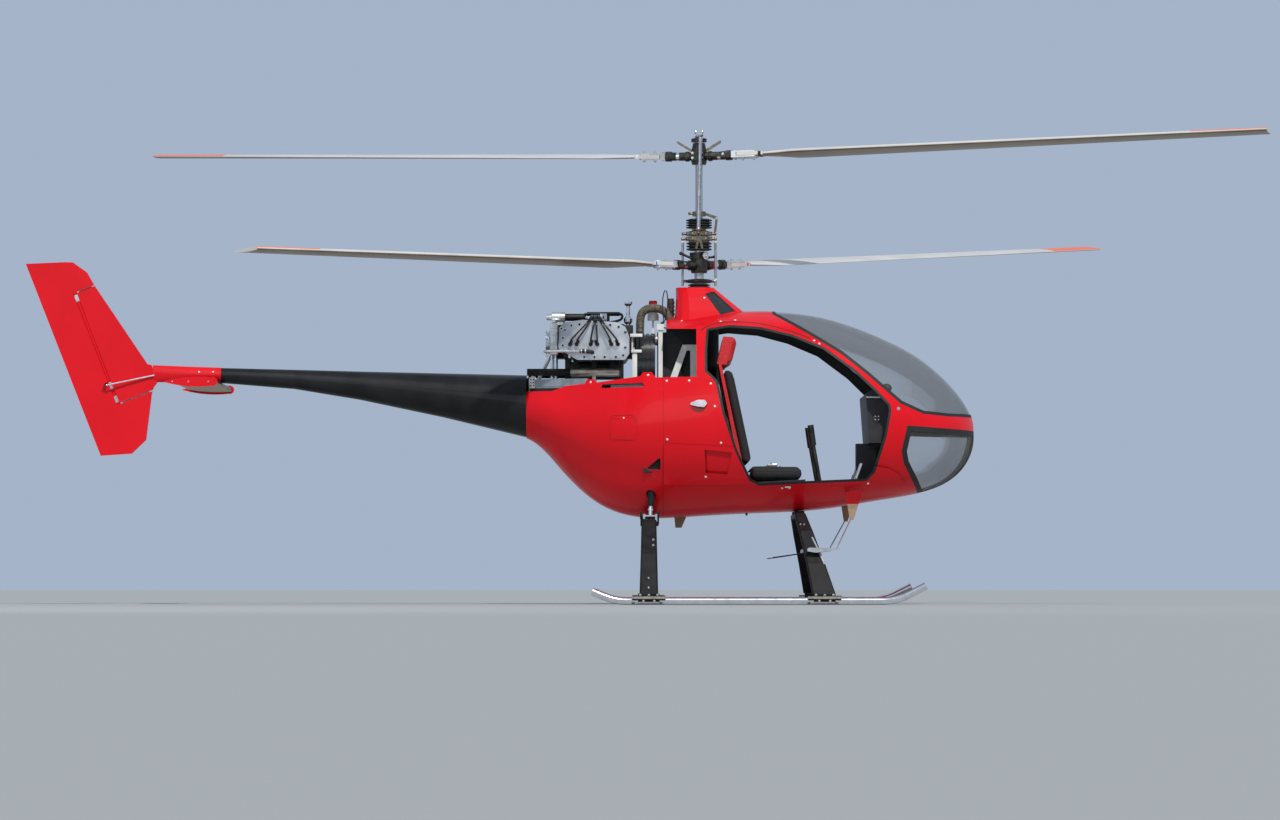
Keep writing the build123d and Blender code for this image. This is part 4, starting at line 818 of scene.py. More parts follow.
for side, label in SIDE_NAMES:
    y = side * SEAT_Y
    back, cushion = pad_tree("seat_back_" + label), pad_tree("seat_cushion_" + label)
    piping(label, cushion, y)
    for part in SIDES:
        name = label + ("_outer" if part * side > 0 else "_inner")
        places = [back.ray_cast(at(0.7, y + (0.085 - step * 0.0045) * part, 1.31 - step * 0.037),
                                Vector((-1, 0, 0)))[0] for step in range(15)]
        belt("shoulder_belt_" + name, places, Vector((BELT_LIFT, 0, 0)), (0, 1, 0))
        places = [below(cushion, 0.3 + step * 0.014, y + part * (0.15 - step * 0.0165), 1.0) for step in range(9)]
        belt("lap_belt_" + name, places, up(BELT_LIFT), (0.8, 0.35 * part, 0))
    form = bmesh.new()
    place = below(cushion, 0.41, y, 1.0)
    add_block(form, place + Vector((-0.028, -0.03, 0.002)), place + Vector((0.028, 0.03, 0.02)), 0.005)
    add_disc(form, place + up(0.02), up(1), 0.012, 0.006, 24)
    finish_form("belt_buckle_" + label, form, bolt_steel)
print("belts and piping on both seats")

# %% [markdown]
# ## Fasteners on the hull
# White-headed quarter-turn screws hold the panels. Each is set by its place seen from the side, and a ray from
# outside finds the hull there, on both sides, so the head sits on the paint and leans with it.

# %% Hull screws
SCREWS = [(-0.186, 1.25), (-0.061, 1.25), (0.059, 1.232), (0.081, 1.104), (-0.184, 0.92), (-0.427, 1.043),
          (0.115, 0.9), (0.031, 0.712), (0.2, 1.6), (0.64, 1.478), (0.668, 1.46), (0.94, 0.676), (0.458, 0.65),
          (0.5, 0.65), (-0.613, 1.25), (-0.29, 1.284), (0.028, 1.734), (0.118, 1.592), (-0.1, 1.6)]
RIDGE_HALF_WIDTH = 0.06
form = bmesh.new()
for side, place, normal in beside_all(hull, SCREWS):
    if abs(place.y - MAST_Y) > RIDGE_HALF_WIDTH:
        add_screw(form, place - normal * 0.0005, normal, 0.0065, 0.003)
finish_form("hull_screws", form, clear_white)
print("places for hull screws:", len(SCREWS))

# %% [markdown]
# ## Lines, locks and the handle's recess
# A black gutter strip follows the door's top edge over the hull, and a silver lock sits on each side of the nose.
# Below each chrome handle the skin dips for the fingers. That dip is drawn as a patch of painted shade, a darker red
# laid on the curve of the hull, and the access panel's groove as a thin line of the same painted shade.

# %% Lines and patches on the hull
GUTTER = [(0.01, 1.54), (0.05, 1.574), (0.169, 1.591), (0.344, 1.578), (0.48, 1.541), (0.56, 1.512), (0.62, 1.489)]
PANEL = [(-0.502, 0.94), (-0.503, 1.015), (-0.5, 1.052), (-0.47, 1.058), (-0.4, 1.058), (-0.362, 1.052),
         (-0.357, 1.02), (-0.357, 0.945), (-0.362, 0.92), (-0.4, 0.918), (-0.47, 0.924), (-0.498, 0.928),
         (-0.502, 0.94)]
HINGE_ARC = [(0.03, 1.252), (0.05, 1.252), (0.068, 1.24), (0.072, 1.22), (0.062, 1.204)]
RECESS = [(-0.055, 1.094), (-0.02, 1.097), (0.03, 1.097), (0.022, 1.082), (0.002, 1.072), (-0.02, 1.072),
          (-0.04, 1.082)]
OUTLINE_Y = 1.2
OUTSIDE_HULL_Y = 1.0


def hull_line(points, side, lift=0.0):
    found = [beside(hull, x, z, side) for x, z in points]
    return [place + normal * lift for place, normal in found if place is not None]


def add_patch(form, outline, side, lift):
    """A thin skin within an outline of x and z: it is cut up outside the hull and then pressed on to it."""
    verts = [form.verts.new(at(x, side * OUTLINE_Y, z)) for x, z in outline]
    face = form.faces.new(verts)
    bmesh.ops.triangulate(form, faces=[face])
    mine = [f for f in form.faces if all(v in verts for v in f.verts)]
    edges = list({edge for f in mine for edge in f.edges})
    bmesh.ops.subdivide_edges(form, edges=edges, cuts=3, use_grid_fill=True)
    for vert in form.verts:
        if vert.co.y * side > OUTSIDE_HULL_Y:
            place, normal = beside(hull, vert.co.x - MAST_X, vert.co.z, side)
            if place is not None:
                vert.co = place + normal * lift


# The panel line is a thin tube of painted shade, pressed into the hull where the groove is.
for name, points, lift, radius, material in (
        ("gutter_strips", GUTTER, 0.001, 0.0032, rubber_black), ("panel_lines", PANEL, -0.0006, 0.002, shadowed_red),
        ("hinge_bosses", HINGE_ARC, -0.0008, 0.0028, red_paint)):
    tubes(name, [hull_line(points, side, lift) for side in SIDES], radius, material, 8)
# The handle recesses are patches of painted shade pressed on to the hull, not hollows cut in it.
form = bmesh.new()
for side in SIDES:
    add_patch(form, RECESS, side, 0.0008)
bmesh.ops.solidify(form, geom=form.faces[:], thickness=0.0006)
finish_form("handle_recesses", form, shadowed_red)
form = bmesh.new()
for side, place, normal in beside_all(hull, [(1.107, 1.093)]):
    add_disc(form, place, normal, 0.011, 0.004, 28, 0.9)
    add_disc(form, place + normal * 0.003, normal, 0.006, 0.004, 20, 0.8)
finish_form("nose_locks", form, polished)
form = bmesh.new()
for side, place, normal in beside_all(hull, [(0.49, 0.656)]):
    add_block(form, place - Vector((0.016, 0.003, 0.004)), place + Vector((0.016, 0.003, 0.004)), 0.001)
finish_form("sill_latches", form, polished)
print("hull lines done")

# %% [markdown]
# ## The cabin's small parts
# The dash has a round air vent with four openings at each end, a grey trim strip, and a compass on its top.

# %% Dash details
COMPASS_Z = 1.228
dash = surface_of("dash_console")
vents, trims = blank_forms(2)
for side, place, normal in beside_all(dash, [(0.991, 1.044)]):
    out = Vector((0, side, 0))
    add_disc(vents, place, out, 0.026, 0.004, 32, 0.94)
    for turn in range(4):
        angle = math.radians(45 + 90 * turn)
        shift = Vector((math.cos(angle) * 0.0125, 0, math.sin(angle) * 0.0125))
        add_disc(trims, place + shift + out * 0.003, out, 0.0052, 0.004, 18, 0.7)
for side, place, normal in beside_all(dash, [(x, 1.161) for x in (0.945, 0.965, 0.985, 1.005)]):
    add_block(trims, place - Vector((0.012, 0.004, 0.004)), place + Vector((0.012, 0.004, 0.004)), 0.0015)
finish_form("dash_vents", vents, dash_black)
finish_form("dash_trims", trims, bolt_steel)
form = bmesh.new()
foot = below(dash, 1.066, 0.0)
ball = Vector((foot.x, foot.y, COMPASS_Z))
add_disc(form, foot - up(0.001), up(1), 0.02, COMPASS_Z - foot.z, 24, 0.7)
bmesh.ops.create_uvsphere(form, u_segments=28, v_segments=16, radius=0.03,
                          matrix=Matrix.Translation(ball) @ Matrix.Diagonal((1, 1, 0.85, 1)))
add_disc(form, ball - Vector((0.026, 0, 0)), (-1, 0, 0), 0.021, 0.006, 28, 0.9)
finish_form("compass", form, dash_black, "grey_lining")
print("dash top at", round(foot.z, 3))

# %% [markdown]
# ## The engine's outside
# The flat six carries the most small parts: studs round each cast head, a boot and a lead for each plug, the
# ignition bracket, a coolant pipe with its clamped hose, the cast case behind the block, and the coil on its post.
# They are made for the starboard side and again for the port side, since both banks are alike.

# %% Studs, plug boots and leads
STUDS = [(-0.779, 1.552), (-0.759, 1.544), (-0.723, 1.569), (-0.677, 1.575), (-0.504, 1.572), (-0.456, 1.561),
         (-0.419, 1.531), (-0.771, 1.499), (-0.771, 1.457), (-0.419, 1.445), (-0.719, 1.392), (-0.65, 1.392),
         (-0.431, 1.401), (-0.472, 1.392), (-0.535, 1.392), (-0.593, 1.392)]
PLUGS = [-0.7295, -0.6925, -0.6135, -0.5765, -0.4975, -0.4605]
PLUG_Y, PLUG_Z = 0.303, 1.464
LEAD_MEET = -0.585
LEAD_SHARES = (0.25, 0.7, 0.84)
TIE = [(-0.602, 0.322, 1.597), (-0.585, 0.335, 1.601), (-0.566, 0.322, 1.597)]
washers, studs, boots, ties = blank_forms(4)
for side, place, normal in beside_all(surface_of("cylinder_heads"), STUDS):
    out = Vector((0, side, 0))
    add_disc(washers, place, out, 0.0098, 0.0022, 22, 0.96)
    add_disc(studs, place + out * 0.002, out, 0.0062, 0.005, 14, 0.9)
leads = []
for side in SIDES:
    out = Vector((0, side, 0))
    last_y = 0.06 if side < 0 else 0.034
    for x in PLUGS:
        start = at(x, side * PLUG_Y, PLUG_Z)
        toward = 0.45 if x < LEAD_MEET else -0.45
        add_disc(boots, start, out, 0.012, 0.01, 20, 0.92)
        add_disc(boots, start + out * 0.008, (toward, side * 0.9, 0.75), 0.0092, 0.03, 18, 0.78)
        near, nearer, together = [x + (LEAD_MEET - x) * share for share in LEAD_SHARES]
        leads.append(route([(x, 0.322, 1.468), (x, 0.337, 1.48), (near, 0.338, 1.52), (nearer, 0.328, 1.588),
                            (together, 0.27, 1.628), (together, 0.15, 1.63), (together, last_y, 1.62)], side))
    add_tube(ties, smooth_line(route(TIE, side)), 0.005)
finish_form("head_washers", washers, bolt_steel)
finish_form("head_studs", studs, leg_black)
finish_form("plug_boots", boots, rubber_black)
tubes("plug_leads", leads, 0.005, lead_black)
finish_form("lead_ties", ties, rubber_black)
print("plug leads:", len(leads))

# %% Ignition brackets and hoses
PLATE_Y = ((-1, -0.0535), (1, 0.0295))
SLOT_Y = (-0.056, 0.032)
form = bmesh.new()
for side, y in PLATE_Y:
    add_block(form, at(-0.562, y - 0.0018, 1.605), at(-0.524, y + 0.0018, 1.65), 0.001)
    for z in (1.615, 1.641):
        add_disc(form, at(-0.543, y + side * 0.001, z), (0, side, 0), 0.0055, 0.004, 16)
finish_form("ignition_brackets", form, bolt_steel)
form = bmesh.new()
for y in SLOT_Y:
    add_block(form, at(-0.547, y, 1.6215), at(-0.539, y * 0.96, 1.6345), 0.001)
finish_form("ignition_slots", form, leg_black)
IGNITION_HOSES = (
    ((-0.64, -0.04, 1.648), (-0.655, -0.044, 1.645), (-0.65, -0.062, 1.622), (-0.62, -0.06, 1.606),
     (-0.588, -0.045, 1.602)),
    ((-0.64, -0.008, 1.648), (-0.656, -0.006, 1.64), (-0.65, 0.012, 1.615), (-0.62, 0.016, 1.602),
     (-0.588, 0.01, 1.6)),
    ((-0.448, -0.04, 1.648), (-0.434, -0.046, 1.64), (-0.44, -0.062, 1.616), (-0.47, -0.06, 1.604),
     (-0.502, -0.045, 1.6)),
)
tubes("ignition_hoses", [route(points) for points in IGNITION_HOSES], 0.0075, lead_black, 12)
print("ignition hoses:", len(IGNITION_HOSES))

# %% Rear case, coolant pipes and clamps
CASE_Y = 0.262
PIPE_Y, PIPE_Z = 0.3115, 1.424
DECK_Z = 1.24
ON_DECK = DECK_Z + 0.0002
IN_DECK = DECK_Z - 0.002
cases, case_bolts, clamps = blank_forms(3)
add_block(cases, at(-0.8435, -0.1, 1.42), at(-0.8152, 0.1, 1.57), 0.006)
for side in SIDES:
    add_block(cases, at(-0.843, side * 0.098, 1.407), at(-0.799, side * CASE_Y, 1.585), 0.008)
    for z in (1.43, 1.47, 1.52, 1.56):
        add_block(cases, at(-0.838, side * 0.258, z - 0.005), at(-0.804, side * 0.267, z + 0.005), 0.002)
    for x, z in ((-0.833, 1.447), (-0.809, 1.447), (-0.833, 1.54), (-0.809, 1.54), (-0.821, 1.573)):
        add_bolt(case_bolts, at(x, side * CASE_Y, z), (0, side, 0))
    for x in (-0.669, -0.646):
        add_disc(clamps, at(x, side * PIPE_Y, PIPE_Z), (1, 0, 0), 0.013, 0.006, 24, 1.0)
        add_block(clamps, at(x - 0.001, side * PIPE_Y - 0.004, 1.435), at(x + 0.007, side * PIPE_Y + 0.004, 1.443),
                  0.001)
finish_form("rear_case", cases, cast_metal)
finish_form("rear_case_bolts", case_bolts, bolt_steel)
finish_form("hose_clamps", clamps, bolt_steel)
tubes("coolant_pipes", both([(-0.843, 0.205, PIPE_Z), (-0.868, 0.215, PIPE_Z), (-0.876, 0.29, PIPE_Z),
                             (-0.862, PIPE_Y, PIPE_Z), (-0.79, PIPE_Y, PIPE_Z), (-0.668, PIPE_Y, PIPE_Z)]),
      0.0085, polished, 14)
tubes("coolant_hoses", both([(-0.676, PIPE_Y, PIPE_Z), (-0.64, PIPE_Y, PIPE_Z), (-0.618, 0.316, 1.421),
                             (-0.606, 0.309, 1.419), (-0.603, 0.294, 1.418)]), 0.0115, rubber_black, 14)
tubes("drain_pipes", [points for x in (-0.834, -0.812)
                      for points in both([(x, 0.14, 1.412), (x, 0.142, 1.36), (x, 0.142, IN_DECK)])],
      0.0075, polished, 12)
tubes("rear_braces", both([(-0.838, 0.12, 1.425), (-0.88, 0.12, 1.34), (-0.93, 0.118, IN_DECK)]), 0.007,
      cast_metal, 12)
print("rear case and its pipes done")

# %% Coil, its post, deck brackets and hoses
COIL_Y = 0.215
LUG_HALF = 0.018
BRACKET_OUT = 0.106
FRAME_Y = 0.155
posts, coils, brackets, bolts = blank_forms(4)
for side in SIDES:
    y = side * COIL_Y
    out = (0, side, 0)
    add_block(posts, at(-0.38, y - 0.008, ON_DECK), at(-0.352, y + 0.008, 1.428), 0.002)
    for x0, x1, z0, z1 in ((-0.386, -0.326, 1.42, 1.436), (-0.392, -0.322, 1.508, 1.526)):
        add_block(posts, at(x0, y - LUG_HALF, z0), at(x1, y + LUG_HALF, z1), 0.002)
    add_block(posts, at(-0.384, y - side * 0.01, 1.43), at(-0.374, y - side * LUG_HALF, 1.512), 0.001)
    add_disc(coils, at(-0.35, y, 1.4362), up(1), 0.0165, 0.0716, 28, 1.0)
    add_disc(coils, at(-0.35, y, 1.526), up(1), 0.009, 0.018, 20, 0.8)
    add_block(brackets, at(-0.952, side * 0.094, ON_DECK), at(-0.93, side * BRACKET_OUT, 1.292), 0.002)
    add_block(brackets, at(-0.952, side * 0.075, ON_DECK), at(-0.905, side * BRACKET_OUT, DECK_Z + 0.005), 0.001)
    for z in (1.262, 1.28):
        add_bolt(bolts, at(-0.941, side * BRACKET_OUT, z), out, 0.004, 0.005)
    for x, z in ((-0.16, 1.262), (-0.02, 1.262), (-0.08, 1.452), (-0.01, 1.452)):
        add_bolt(bolts, at(x, side * FRAME_Y, z), out, 0.0055, 0.006)
finish_form("coil_brackets", posts, white_paint)
finish_form("coils", coils, lead_black)
finish_form("deck_brackets", brackets, white_paint)
finish_form("frame_bolts", bolts, bolt_steel)
tubes("fuel_hoses", both([(-0.12, 0.12, DECK_Z - 0.001), (-0.112, 0.122, 1.31), (-0.085, 0.124, 1.372),
                          (-0.052, 0.124, 1.36), (-0.04, 0.122, 1.3), (-0.04, 0.12, DECK_Z - 0.001)]),
      0.006, rubber_black, 12)
tubes("frame_leads", [route([(-0.206, -0.146, 1.566), (-0.18, -0.15, 1.56), (-0.14, -0.156, 1.53),
                             (-0.1, -0.155, 1.47), (-0.094, -0.15, 1.44)])], 0.003, lead_black, 8)
print("engine bay dressed")

# %% [markdown]
# ## Shade sheets and the sump
# Between the white side plates and the gearbox stands a matt black sheet on each side. It stands in for the parts
# there, which lie in the fairing's shade, so its black is painted shade. A ribbed oil sump hangs between the
# exhausts.
# Both close the view through the bay.

# %% Shade sheets and sump
SHADE_SHEET = [(-0.238, 1.2405), (0.006, 1.2405), (0.006, 1.449), (-0.092, 1.449), (-0.092, 1.469), (0.006, 1.469),
          (0.006, 1.598), (-0.14, 1.598), (-0.14, 1.54), (-0.238, 1.54)]
SHADE_SHEET_Y = 0.106
SHADE_SHEET_THICK = 0.0016
SUMP_RIBS = 10
form = bmesh.new()
# A matt black sheet on each side: painted shade for the shaded parts of the bay.
for side in SIDES:
    face = form.faces.new([form.verts.new(at(x, side * SHADE_SHEET_Y, z)) for x, z in SHADE_SHEET])
    grown = bmesh.ops.extrude_face_region(form, geom=[face])
    bmesh.ops.translate(form, verts=[item for item in grown["geom"] if isinstance(item, bmesh.types.BMVert)],
                        vec=(0, -side * SHADE_SHEET_THICK, 0))
bmesh.ops.triangulate(form, faces=form.faces[:])
finish_form("bay_shade_sheets", form, lining_black)
form = bmesh.new()
add_block(form, at(-0.748, -0.085, 1.306), at(-0.438, 0.085, 1.374), 0.01)
for rib in range(SUMP_RIBS):
    x = -0.735 + 0.031 * rib
    add_block(form, at(x, -0.088, 1.3035), at(x + 0.005, 0.088, 1.366), 0.0015)
add_bolt(form, at(-0.47, 0.0, 1.3065), up(-1), 0.009, 0.01)
finish_form("oil_sump", form, dark_metal)
print("heat shields and sump closed the bay")

# %% [markdown]
# ## Closing the open edges
# The deck has an upstand along each side, with a black strip between it and the hull. Behind the air outlet and the
# long slot in the skin there is a dark duct and a pale inner sheet, so nobody looks through the machine there.

# %% Deck sides, outlet ducts and slot sheets
EDGE_Z = 1.236
SLOT_LINE = [(-0.56, 1.25), (-0.5, 1.251), (-0.44, 1.254), (-0.38, 1.258), (-0.32, 1.262)]
CAP_FOOT = at(-0.262, -0.03, 1.6985)
CAP_RIBS = 18


def edge_line(xs, side, outward, lift=0.0):
    """Points along the deck's slanted side, a little outward or inward of it."""
    found = [beside(deck, x, EDGE_Z, side)[0] for x in xs]
    return [Vector((place.x, place.y + side * outward, EDGE_Z + lift)) for place in found if place is not None]


ducts = bmesh.new()
for side, label in SIDE_NAMES:
    xs = [-0.9612] + [-0.93 + 0.025 * step for step in range(13)]
    inner = [Vector((place.x, place.y - side * 0.024, 1.2235)) for place in hull_line(SLOT_LINE, side)]
    plate = edge_line((-0.9605, -0.946, -0.932), side, 0.0035, 0.017)
    for name, line, width, thick, material, slot in (
            ("deck_side_", edge_line(xs, side, -0.001, 0.01), 0.052, 0.002, deck_metal, None),
            ("deck_seal_", edge_line(xs, side, 0.002, -0.026), 0.022, 0.003, rubber_black, None),
            ("slot_sheet_", inner, 0.03, 0.002, deck_metal, None),
            ("boom_bracket_", plate, 0.062, 0.003, clear_white, "white_paint")):
        strap(name + label, line, up(1), width, thick, material, slot)
    dots = bmesh.new()
    for place in edge_line((-0.954, -0.939), side, 0.0058):
        for lift in (0.002, 0.018, 0.034):
            add_disc(dots, place + up(lift), (0, side, 0), 0.0038, 0.003, 14)
    finish_form("boom_bracket_bolts_" + label, dots, leg_black)
    reach = abs(beside(hull, -0.262, 0.845, side)[0].y - MAST_Y)
    add_block(ducts, at(-0.318, side * (reach - 0.05), 0.735), at(-0.208, side * (reach - 0.13), 0.838), 0.006)
finish_form("outlet_ducts", ducts, lining_black, "grey_lining")
form = bmesh.new()
add_disc(form, CAP_FOOT, up(1), 0.0225, 0.024, 28, 0.96)
for rib in range(CAP_RIBS):
    spin = Matrix.Rotation(math.radians(360 / CAP_RIBS * rib), 4, "Z")
    add_block(form, (0.0215, -0.0014, 0.002), (0.0236, 0.0014, 0.02), 0.0, Matrix.Translation(CAP_FOOT) @ spin)
finish_form("bottle_cap", form, cap_red)
print("open edges closed")

# %% [markdown]
# ## The ribbed air hose
# The CAD hose is a plain tube. The real one is ribbed cloth over a wire, so the tube's radius goes up and down every
# few millimetres. A curve can do that by itself: each of its points has a radius of its own.

# %% Air hose
HOSE_ROUTE = [(-0.336, -0.098, 1.5452), (-0.336, -0.098, 1.61), (-0.326, -0.099, 1.652), (-0.296, -0.1, 1.674),
              (-0.25, -0.101, 1.678), (-0.206, -0.102, 1.668), (-0.176, -0.102, 1.634), (-0.16, -0.102, 1.6)]
HOSE_RADIUS = 0.0245
RIB_PITCH = 0.0085
RIB_LOW = 0.86
line = smooth_line(route(HOSE_ROUTE), 40)
travelled, radii = 0.0, []
for number, place in enumerate(line):
    if number:
        travelled += (place - line[number - 1]).length
    wave = 0.5 + 0.5 * math.cos(2 * math.pi * travelled / RIB_PITCH)
    radii.append(RIB_LOW + (1.0 - RIB_LOW) * wave ** 0.5)
form = bmesh.new()
add_tube(form, line, HOSE_RADIUS, 20, radii=radii)
bmesh.ops.remove_doubles(form, verts=form.verts[:], dist=MERGE)
hose = finish_form("ribbed_hose", form, hose_olive, crease=PIPE_CREASE)
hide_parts("air_hose")
print("ribbed_hose runs", round(travelled, 3), "m")

# %% [markdown]
# ## Aerials
# A thin black loop stands on the white box beside the drum, and a small nub hangs under the belly.

# %% Loop aerial and nub
LOOP_Y = -0.16
LOOP = [(-0.214, 1.583), (-0.2, 1.6), (-0.207, 1.65), (-0.209, 1.72), (-0.2, 1.768), (-0.192, 1.776),
        (-0.184, 1.768), (-0.178, 1.72), (-0.184, 1.65), (-0.196, 1.6), (-0.206, 1.583)]
form = bmesh.new()
add_tube(form, smooth_line([at(x, LOOP_Y, z) for x, z in LOOP]), 0.003, 8)
add_disc(form, at(-0.21, LOOP_Y, 1.5835), up(1), 0.01, 0.012, 20, 0.8)
finish_form("loop_aerial", form, lead_black, "black_satin")
form = bmesh.new()
belly = hull.ray_cast(at(0.269, 0.0, 0.0), up(1))[0]
add_disc(form, belly + up(0.001), up(-1), 0.008, 0.014, 18, 0.6)
finish_form("belly_nub", form, rubber_black)
print("belly at", round(belly.z, 3))

# %% [markdown]
# ## Rotor heads
# A blade's root is easiest to dress in its own frame: X runs out along the blade, and Z is square to it. We turn
# that frame as the blade is turned, round the mast, by the rotor's tilt, the coning and the pitch. A bolt that is
# placed once in it then fits all four blades.

# %% A frame for each blade
UPPER = {"z": 2.546, "azimuth": -14.8, "tilt": 0.1, "coning": 1.3, "lead": -1, "name": "upper"}
LOWER = {"z": 1.924, "azimuth": 42.7, "tilt": 2.5, "coning": 1.7, "lead": 1, "name": "lower"}
PITCH = 8.5
GRIP_TOP = 0.019
BAND_RADIUS = 0.0252
WRAP_HALF, WRAP_THICK = 0.0305, 0.0106


def turned(matrix, angle, axis="Z"):
    return matrix @ Matrix.Rotation(math.radians(angle), 4, axis)


def blade_frame(rotor, turn):
    matrix = Matrix.Translation(at(0, 0, rotor["z"]))
    for axis, angle in (("Z", rotor["azimuth"]), ("Y", -rotor["tilt"]), ("Z", turn), ("Y", -rotor["coning"]),
                        ("X", PITCH * rotor["lead"])):
        matrix = turned(matrix, angle, axis)
    return matrix


def add_band(form, matrix, start, end):
    """A thin ring round the grip, along the blade from start to end."""
    shift = turned(matrix @ Matrix.Translation(((start + end) / 2, 0, 0)), 90, "Y")
    bmesh.ops.create_cone(form, cap_ends=True, segments=36, radius1=BAND_RADIUS, radius2=BAND_RADIUS,
                          depth=end - start, matrix=shift)


for rotor in (UPPER, LOWER):
    bolts, bands = blank_forms(2)
    for turn in (0, 180):
        matrix = blade_frame(rotor, turn)
        straight = matrix.to_3x3() @ up(1)
        for r in (0.258, 0.322):
            add_bolt(bolts, matrix @ Vector((r, 0, GRIP_TOP)), straight, 0.009, 0.01)
            add_bolt(bolts, matrix @ Vector((r, 0, -GRIP_TOP)), -straight, 0.009, 0.013)
        for y in (-0.017, 0.017):
            for way in (1, -1):
                add_bolt(bolts, matrix @ Vector((0.212, y, way * GRIP_TOP)), straight * way)
        add_band(bands, matrix, 0.112, 0.13)
        ahead = Vector((0, rotor["lead"], 0))
        add_bolt(bolts, matrix @ (Vector((0.15, 0, 0)) + ahead * 0.0425), matrix.to_3x3() @ ahead)
    body = rotor["name"] + "_rotor"
    finish_form(rotor["name"] + "_grip_bolts", bolts, bolt_steel, body=body)
    finish_form(rotor["name"] + "_grip_bands", bands, polished, body=body)
for name, rotor, turn, start, end, material in (
        ("red_tapes", LOWER, 0, 0.352, 0.362, tape_red), ("blue_tapes", LOWER, 180, 0.352, 0.362, tape_blue),
        ("black_wrap", UPPER, 0, 0.35, 0.368, rubber_black), ("white_wrap", UPPER, 180, 0.35, 0.368, clear_white)):
    form = bmesh.new()
    matrix = blade_frame(rotor, turn)
    if name == "red_tapes":
        add_band(form, matrix, 0.088, 0.104)
    add_block(form, (start, -WRAP_HALF, -WRAP_THICK), (end, WRAP_HALF, WRAP_THICK), 0.001, matrix)
    finish_form(name, form, material, body=rotor["name"] + "_rotor")
print("grips dressed")

# %% Hub plates, teeter discs and ring screws
RING_RADIUS = 0.075


def frame_at(z, angle):
    return turned(Matrix.Translation(at(0, 0, z)), angle)


def ring_bolts(form, z, angles):
    for angle in angles:
        spin = frame_at(z, angle)
        add_bolt(form, spin @ Vector((RING_RADIUS, 0, 0)), spin.to_3x3() @ Vector((1, 0, 0)), 0.0035, 0.004)


head, bearing = frame_at(2.55, UPPER["azimuth"]), frame_at(1.978, LOWER["azimuth"])
upper_bolts, lower_bolts, discs, sleeves = blank_forms(4)
for side in SIDES:
    out = head.to_3x3() @ Vector((0, side, 0))
    for x, z in ((-0.027, 0.014), (0.027, 0.014), (-0.027, -0.014), (0.027, -0.014)):
        add_bolt(upper_bolts, head @ Vector((x, side * 0.046, z)), out, 0.0052, 0.006)
    add_bolt(upper_bolts, at(0.101, side * 0.007, 2.1935), (0, side, 0), 0.006, 0.006)
    add_bolt(upper_bolts, at(0.0, side * 0.038, 2.219), (0, side, 0))
    out = bearing.to_3x3() @ Vector((0, side, 0))
    add_disc(discs, bearing @ Vector((0, side * 0.054, 0)), out, 0.0215, 0.0035, 36, 0.95)
    add_bolt(lower_bolts, bearing @ Vector((0, side * 0.0575, 0)), out, 0.006, 0.006)
for angle in range(30, 360, 60):
    add_bolt(upper_bolts, frame_at(2.648, angle) @ Vector((0.034, 0, 0)), up(1), 0.004, 0.0045)
ring_bolts(upper_bolts, 2.1058, (35, 60, 120, 145, 215, 240, 300, 325))
ring_bolts(lower_bolts, 2.077, (30, 60, 120, 150, 210, 240, 300, 330))
for x in (-0.094, 0.094):
    add_tube(sleeves, [at(x, 0, z) for z in (1.842, 1.95, 2.062)], 0.0068, 14)
    for z in (1.842, 2.056):
        add_disc(sleeves, at(x, 0, z), up(1), 0.0086, 0.008, 6, 1.0)
finish_form("upper_head_bolts", upper_bolts, bolt_steel, body="upper_rotor")
finish_form("rod_sleeves", sleeves, clear_white, body="lower_rotor")
finish_form("lower_head_bolts", lower_bolts, bolt_steel, body="lower_rotor")
finish_form("teeter_discs", discs, cast_metal, body="lower_rotor")
print("rotor heads dressed")

# %% [markdown]
# ## Landing gear
# The legs, struts and shoes are held by bright bolts. A flat strip on the front leg's edge carries the step.

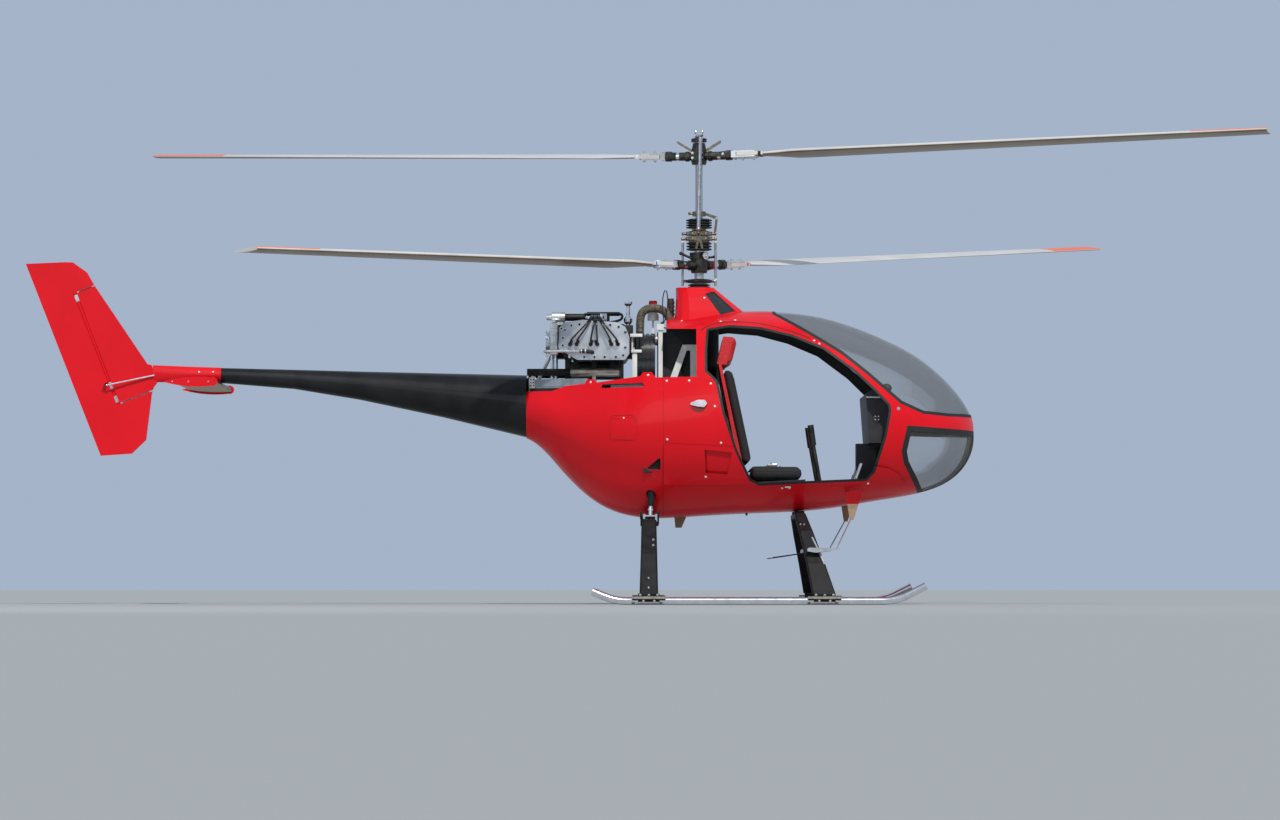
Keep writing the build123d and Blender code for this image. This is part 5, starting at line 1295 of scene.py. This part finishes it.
# %% Legs, struts and shoes
SHOE_BOLTS = [(x + dx, z) for x in (-0.287, 0.684)
              for dx, z in ((-0.048, 0.054), (0.048, 0.054), (-0.03, 0.022), (0.03, 0.022), (0.0, 0.0525))]
LEG_BOLTS = [(-0.262, 0.36), (-0.262, 0.33), (0.56, 0.446), (0.58, 0.446)]
STRIP = [(0.622, 0.372), (0.648, 0.318), (0.668, 0.27), (0.686, 0.222)]
legs = surface_of("rear_legs", "front_legs")
bolts, hooks, strips = blank_forms(3)
for side, place, normal in beside_all(surface_of("skid_shoes"), SHOE_BOLTS):
    add_bolt(bolts, place, (0, side, 0))
for side, place, normal in beside_all(legs, LEG_BOLTS):
    add_bolt(bolts, place, normal)
for side in SIDES:
    for x in (-0.328, -0.235):
        add_block(hooks, at(x - 0.006, side * 0.412, 0.448), at(x + 0.006, side * 0.424, 0.52), 0.002)
        add_disc(hooks, at(x, side * 0.424, 0.494), (0, side, 0), 0.009, 0.006, 20)
    spots = [beside(legs, x, z, side) for x, z in STRIP]
    add_tube(strips, smooth_line([place + normal * 0.002 for place, normal in spots if place is not None], 8),
             0.0055, 8)
finish_form("gear_bolts", bolts, bolt_steel)
finish_form("strut_hooks", hooks, leg_black)
finish_form("step_strips", strips, bolt_steel, "bare_aluminium")
tubes("step_wires", both([(0.402, 0.69, 0.262), (0.5, 0.688, 0.274), (0.602, 0.684, 0.292)]), 0.0028, leg_black, 8)
print("landing gear dressed")

# %% [markdown]
# ## The tail
# Hinge bolts stand on the rudder's three lugs, thin strips of painted shade lie in the gaps at its horns, and
# screws hold the fin's sleeve and the caps of the stabilizer.

# %% Tail details
bolts, gap_shades, sleeve, caps = blank_forms(4)
for share in HINGE_SHARES:
    point = at(*HINGE_LOW.lerp(HINGE_HIGH, share))
    for way in SIDES:
        add_bolt(bolts, point + hinge_up * way * 0.0158, hinge_up * way, 0.0058, 0.005)
turn = Matrix((hinge_ahead, (0, 1, 0), hinge_up)).transposed().to_4x4()
# Strips of painted shade lie in the gaps at the rudder's two horns.
for place, low, high, reach in ((HINGE_HIGH, 0.0016, 0.0052, 0.1025), (HINGE_LOW, -0.0052, -0.0016, 0.1905)):
    add_block(gap_shades, (0.026, -0.0035, low), (reach, 0.0035, high), 0.0, Matrix.Translation(at(*place)) @ turn)
SLEEVE_SCREWS = [(-2.76, 1.318), (-2.84, 1.318), (-2.76, 1.285), (-2.84, 1.285)]
for side, place, normal in beside_all(surface_of("tail_fin"), SLEEVE_SCREWS):
    add_screw(sleeve, place - normal * 0.0004, normal, 0.005, 0.0022)
for side, place, normal in beside_all(surface_of("stabilizer_caps"), [(x, 1.241) for x in (-2.74, -2.85, -2.94)]):
    add_screw(caps, place, (0, side, 0), 0.0045, 0.002)
finish_form("hinge_bolts", bolts, bolt_steel)
finish_form("horn_gap_shades", gap_shades, gap_shade_red)
finish_form("sleeve_screws", sleeve, bolt_steel)
finish_form("cap_screws", caps, bolt_steel)
print("tail dressed")

# %% Finish
faces = sum(len(o.data.polygons) for o in bpy.data.objects if o.type == "MESH")
print("faces in all:", faces)
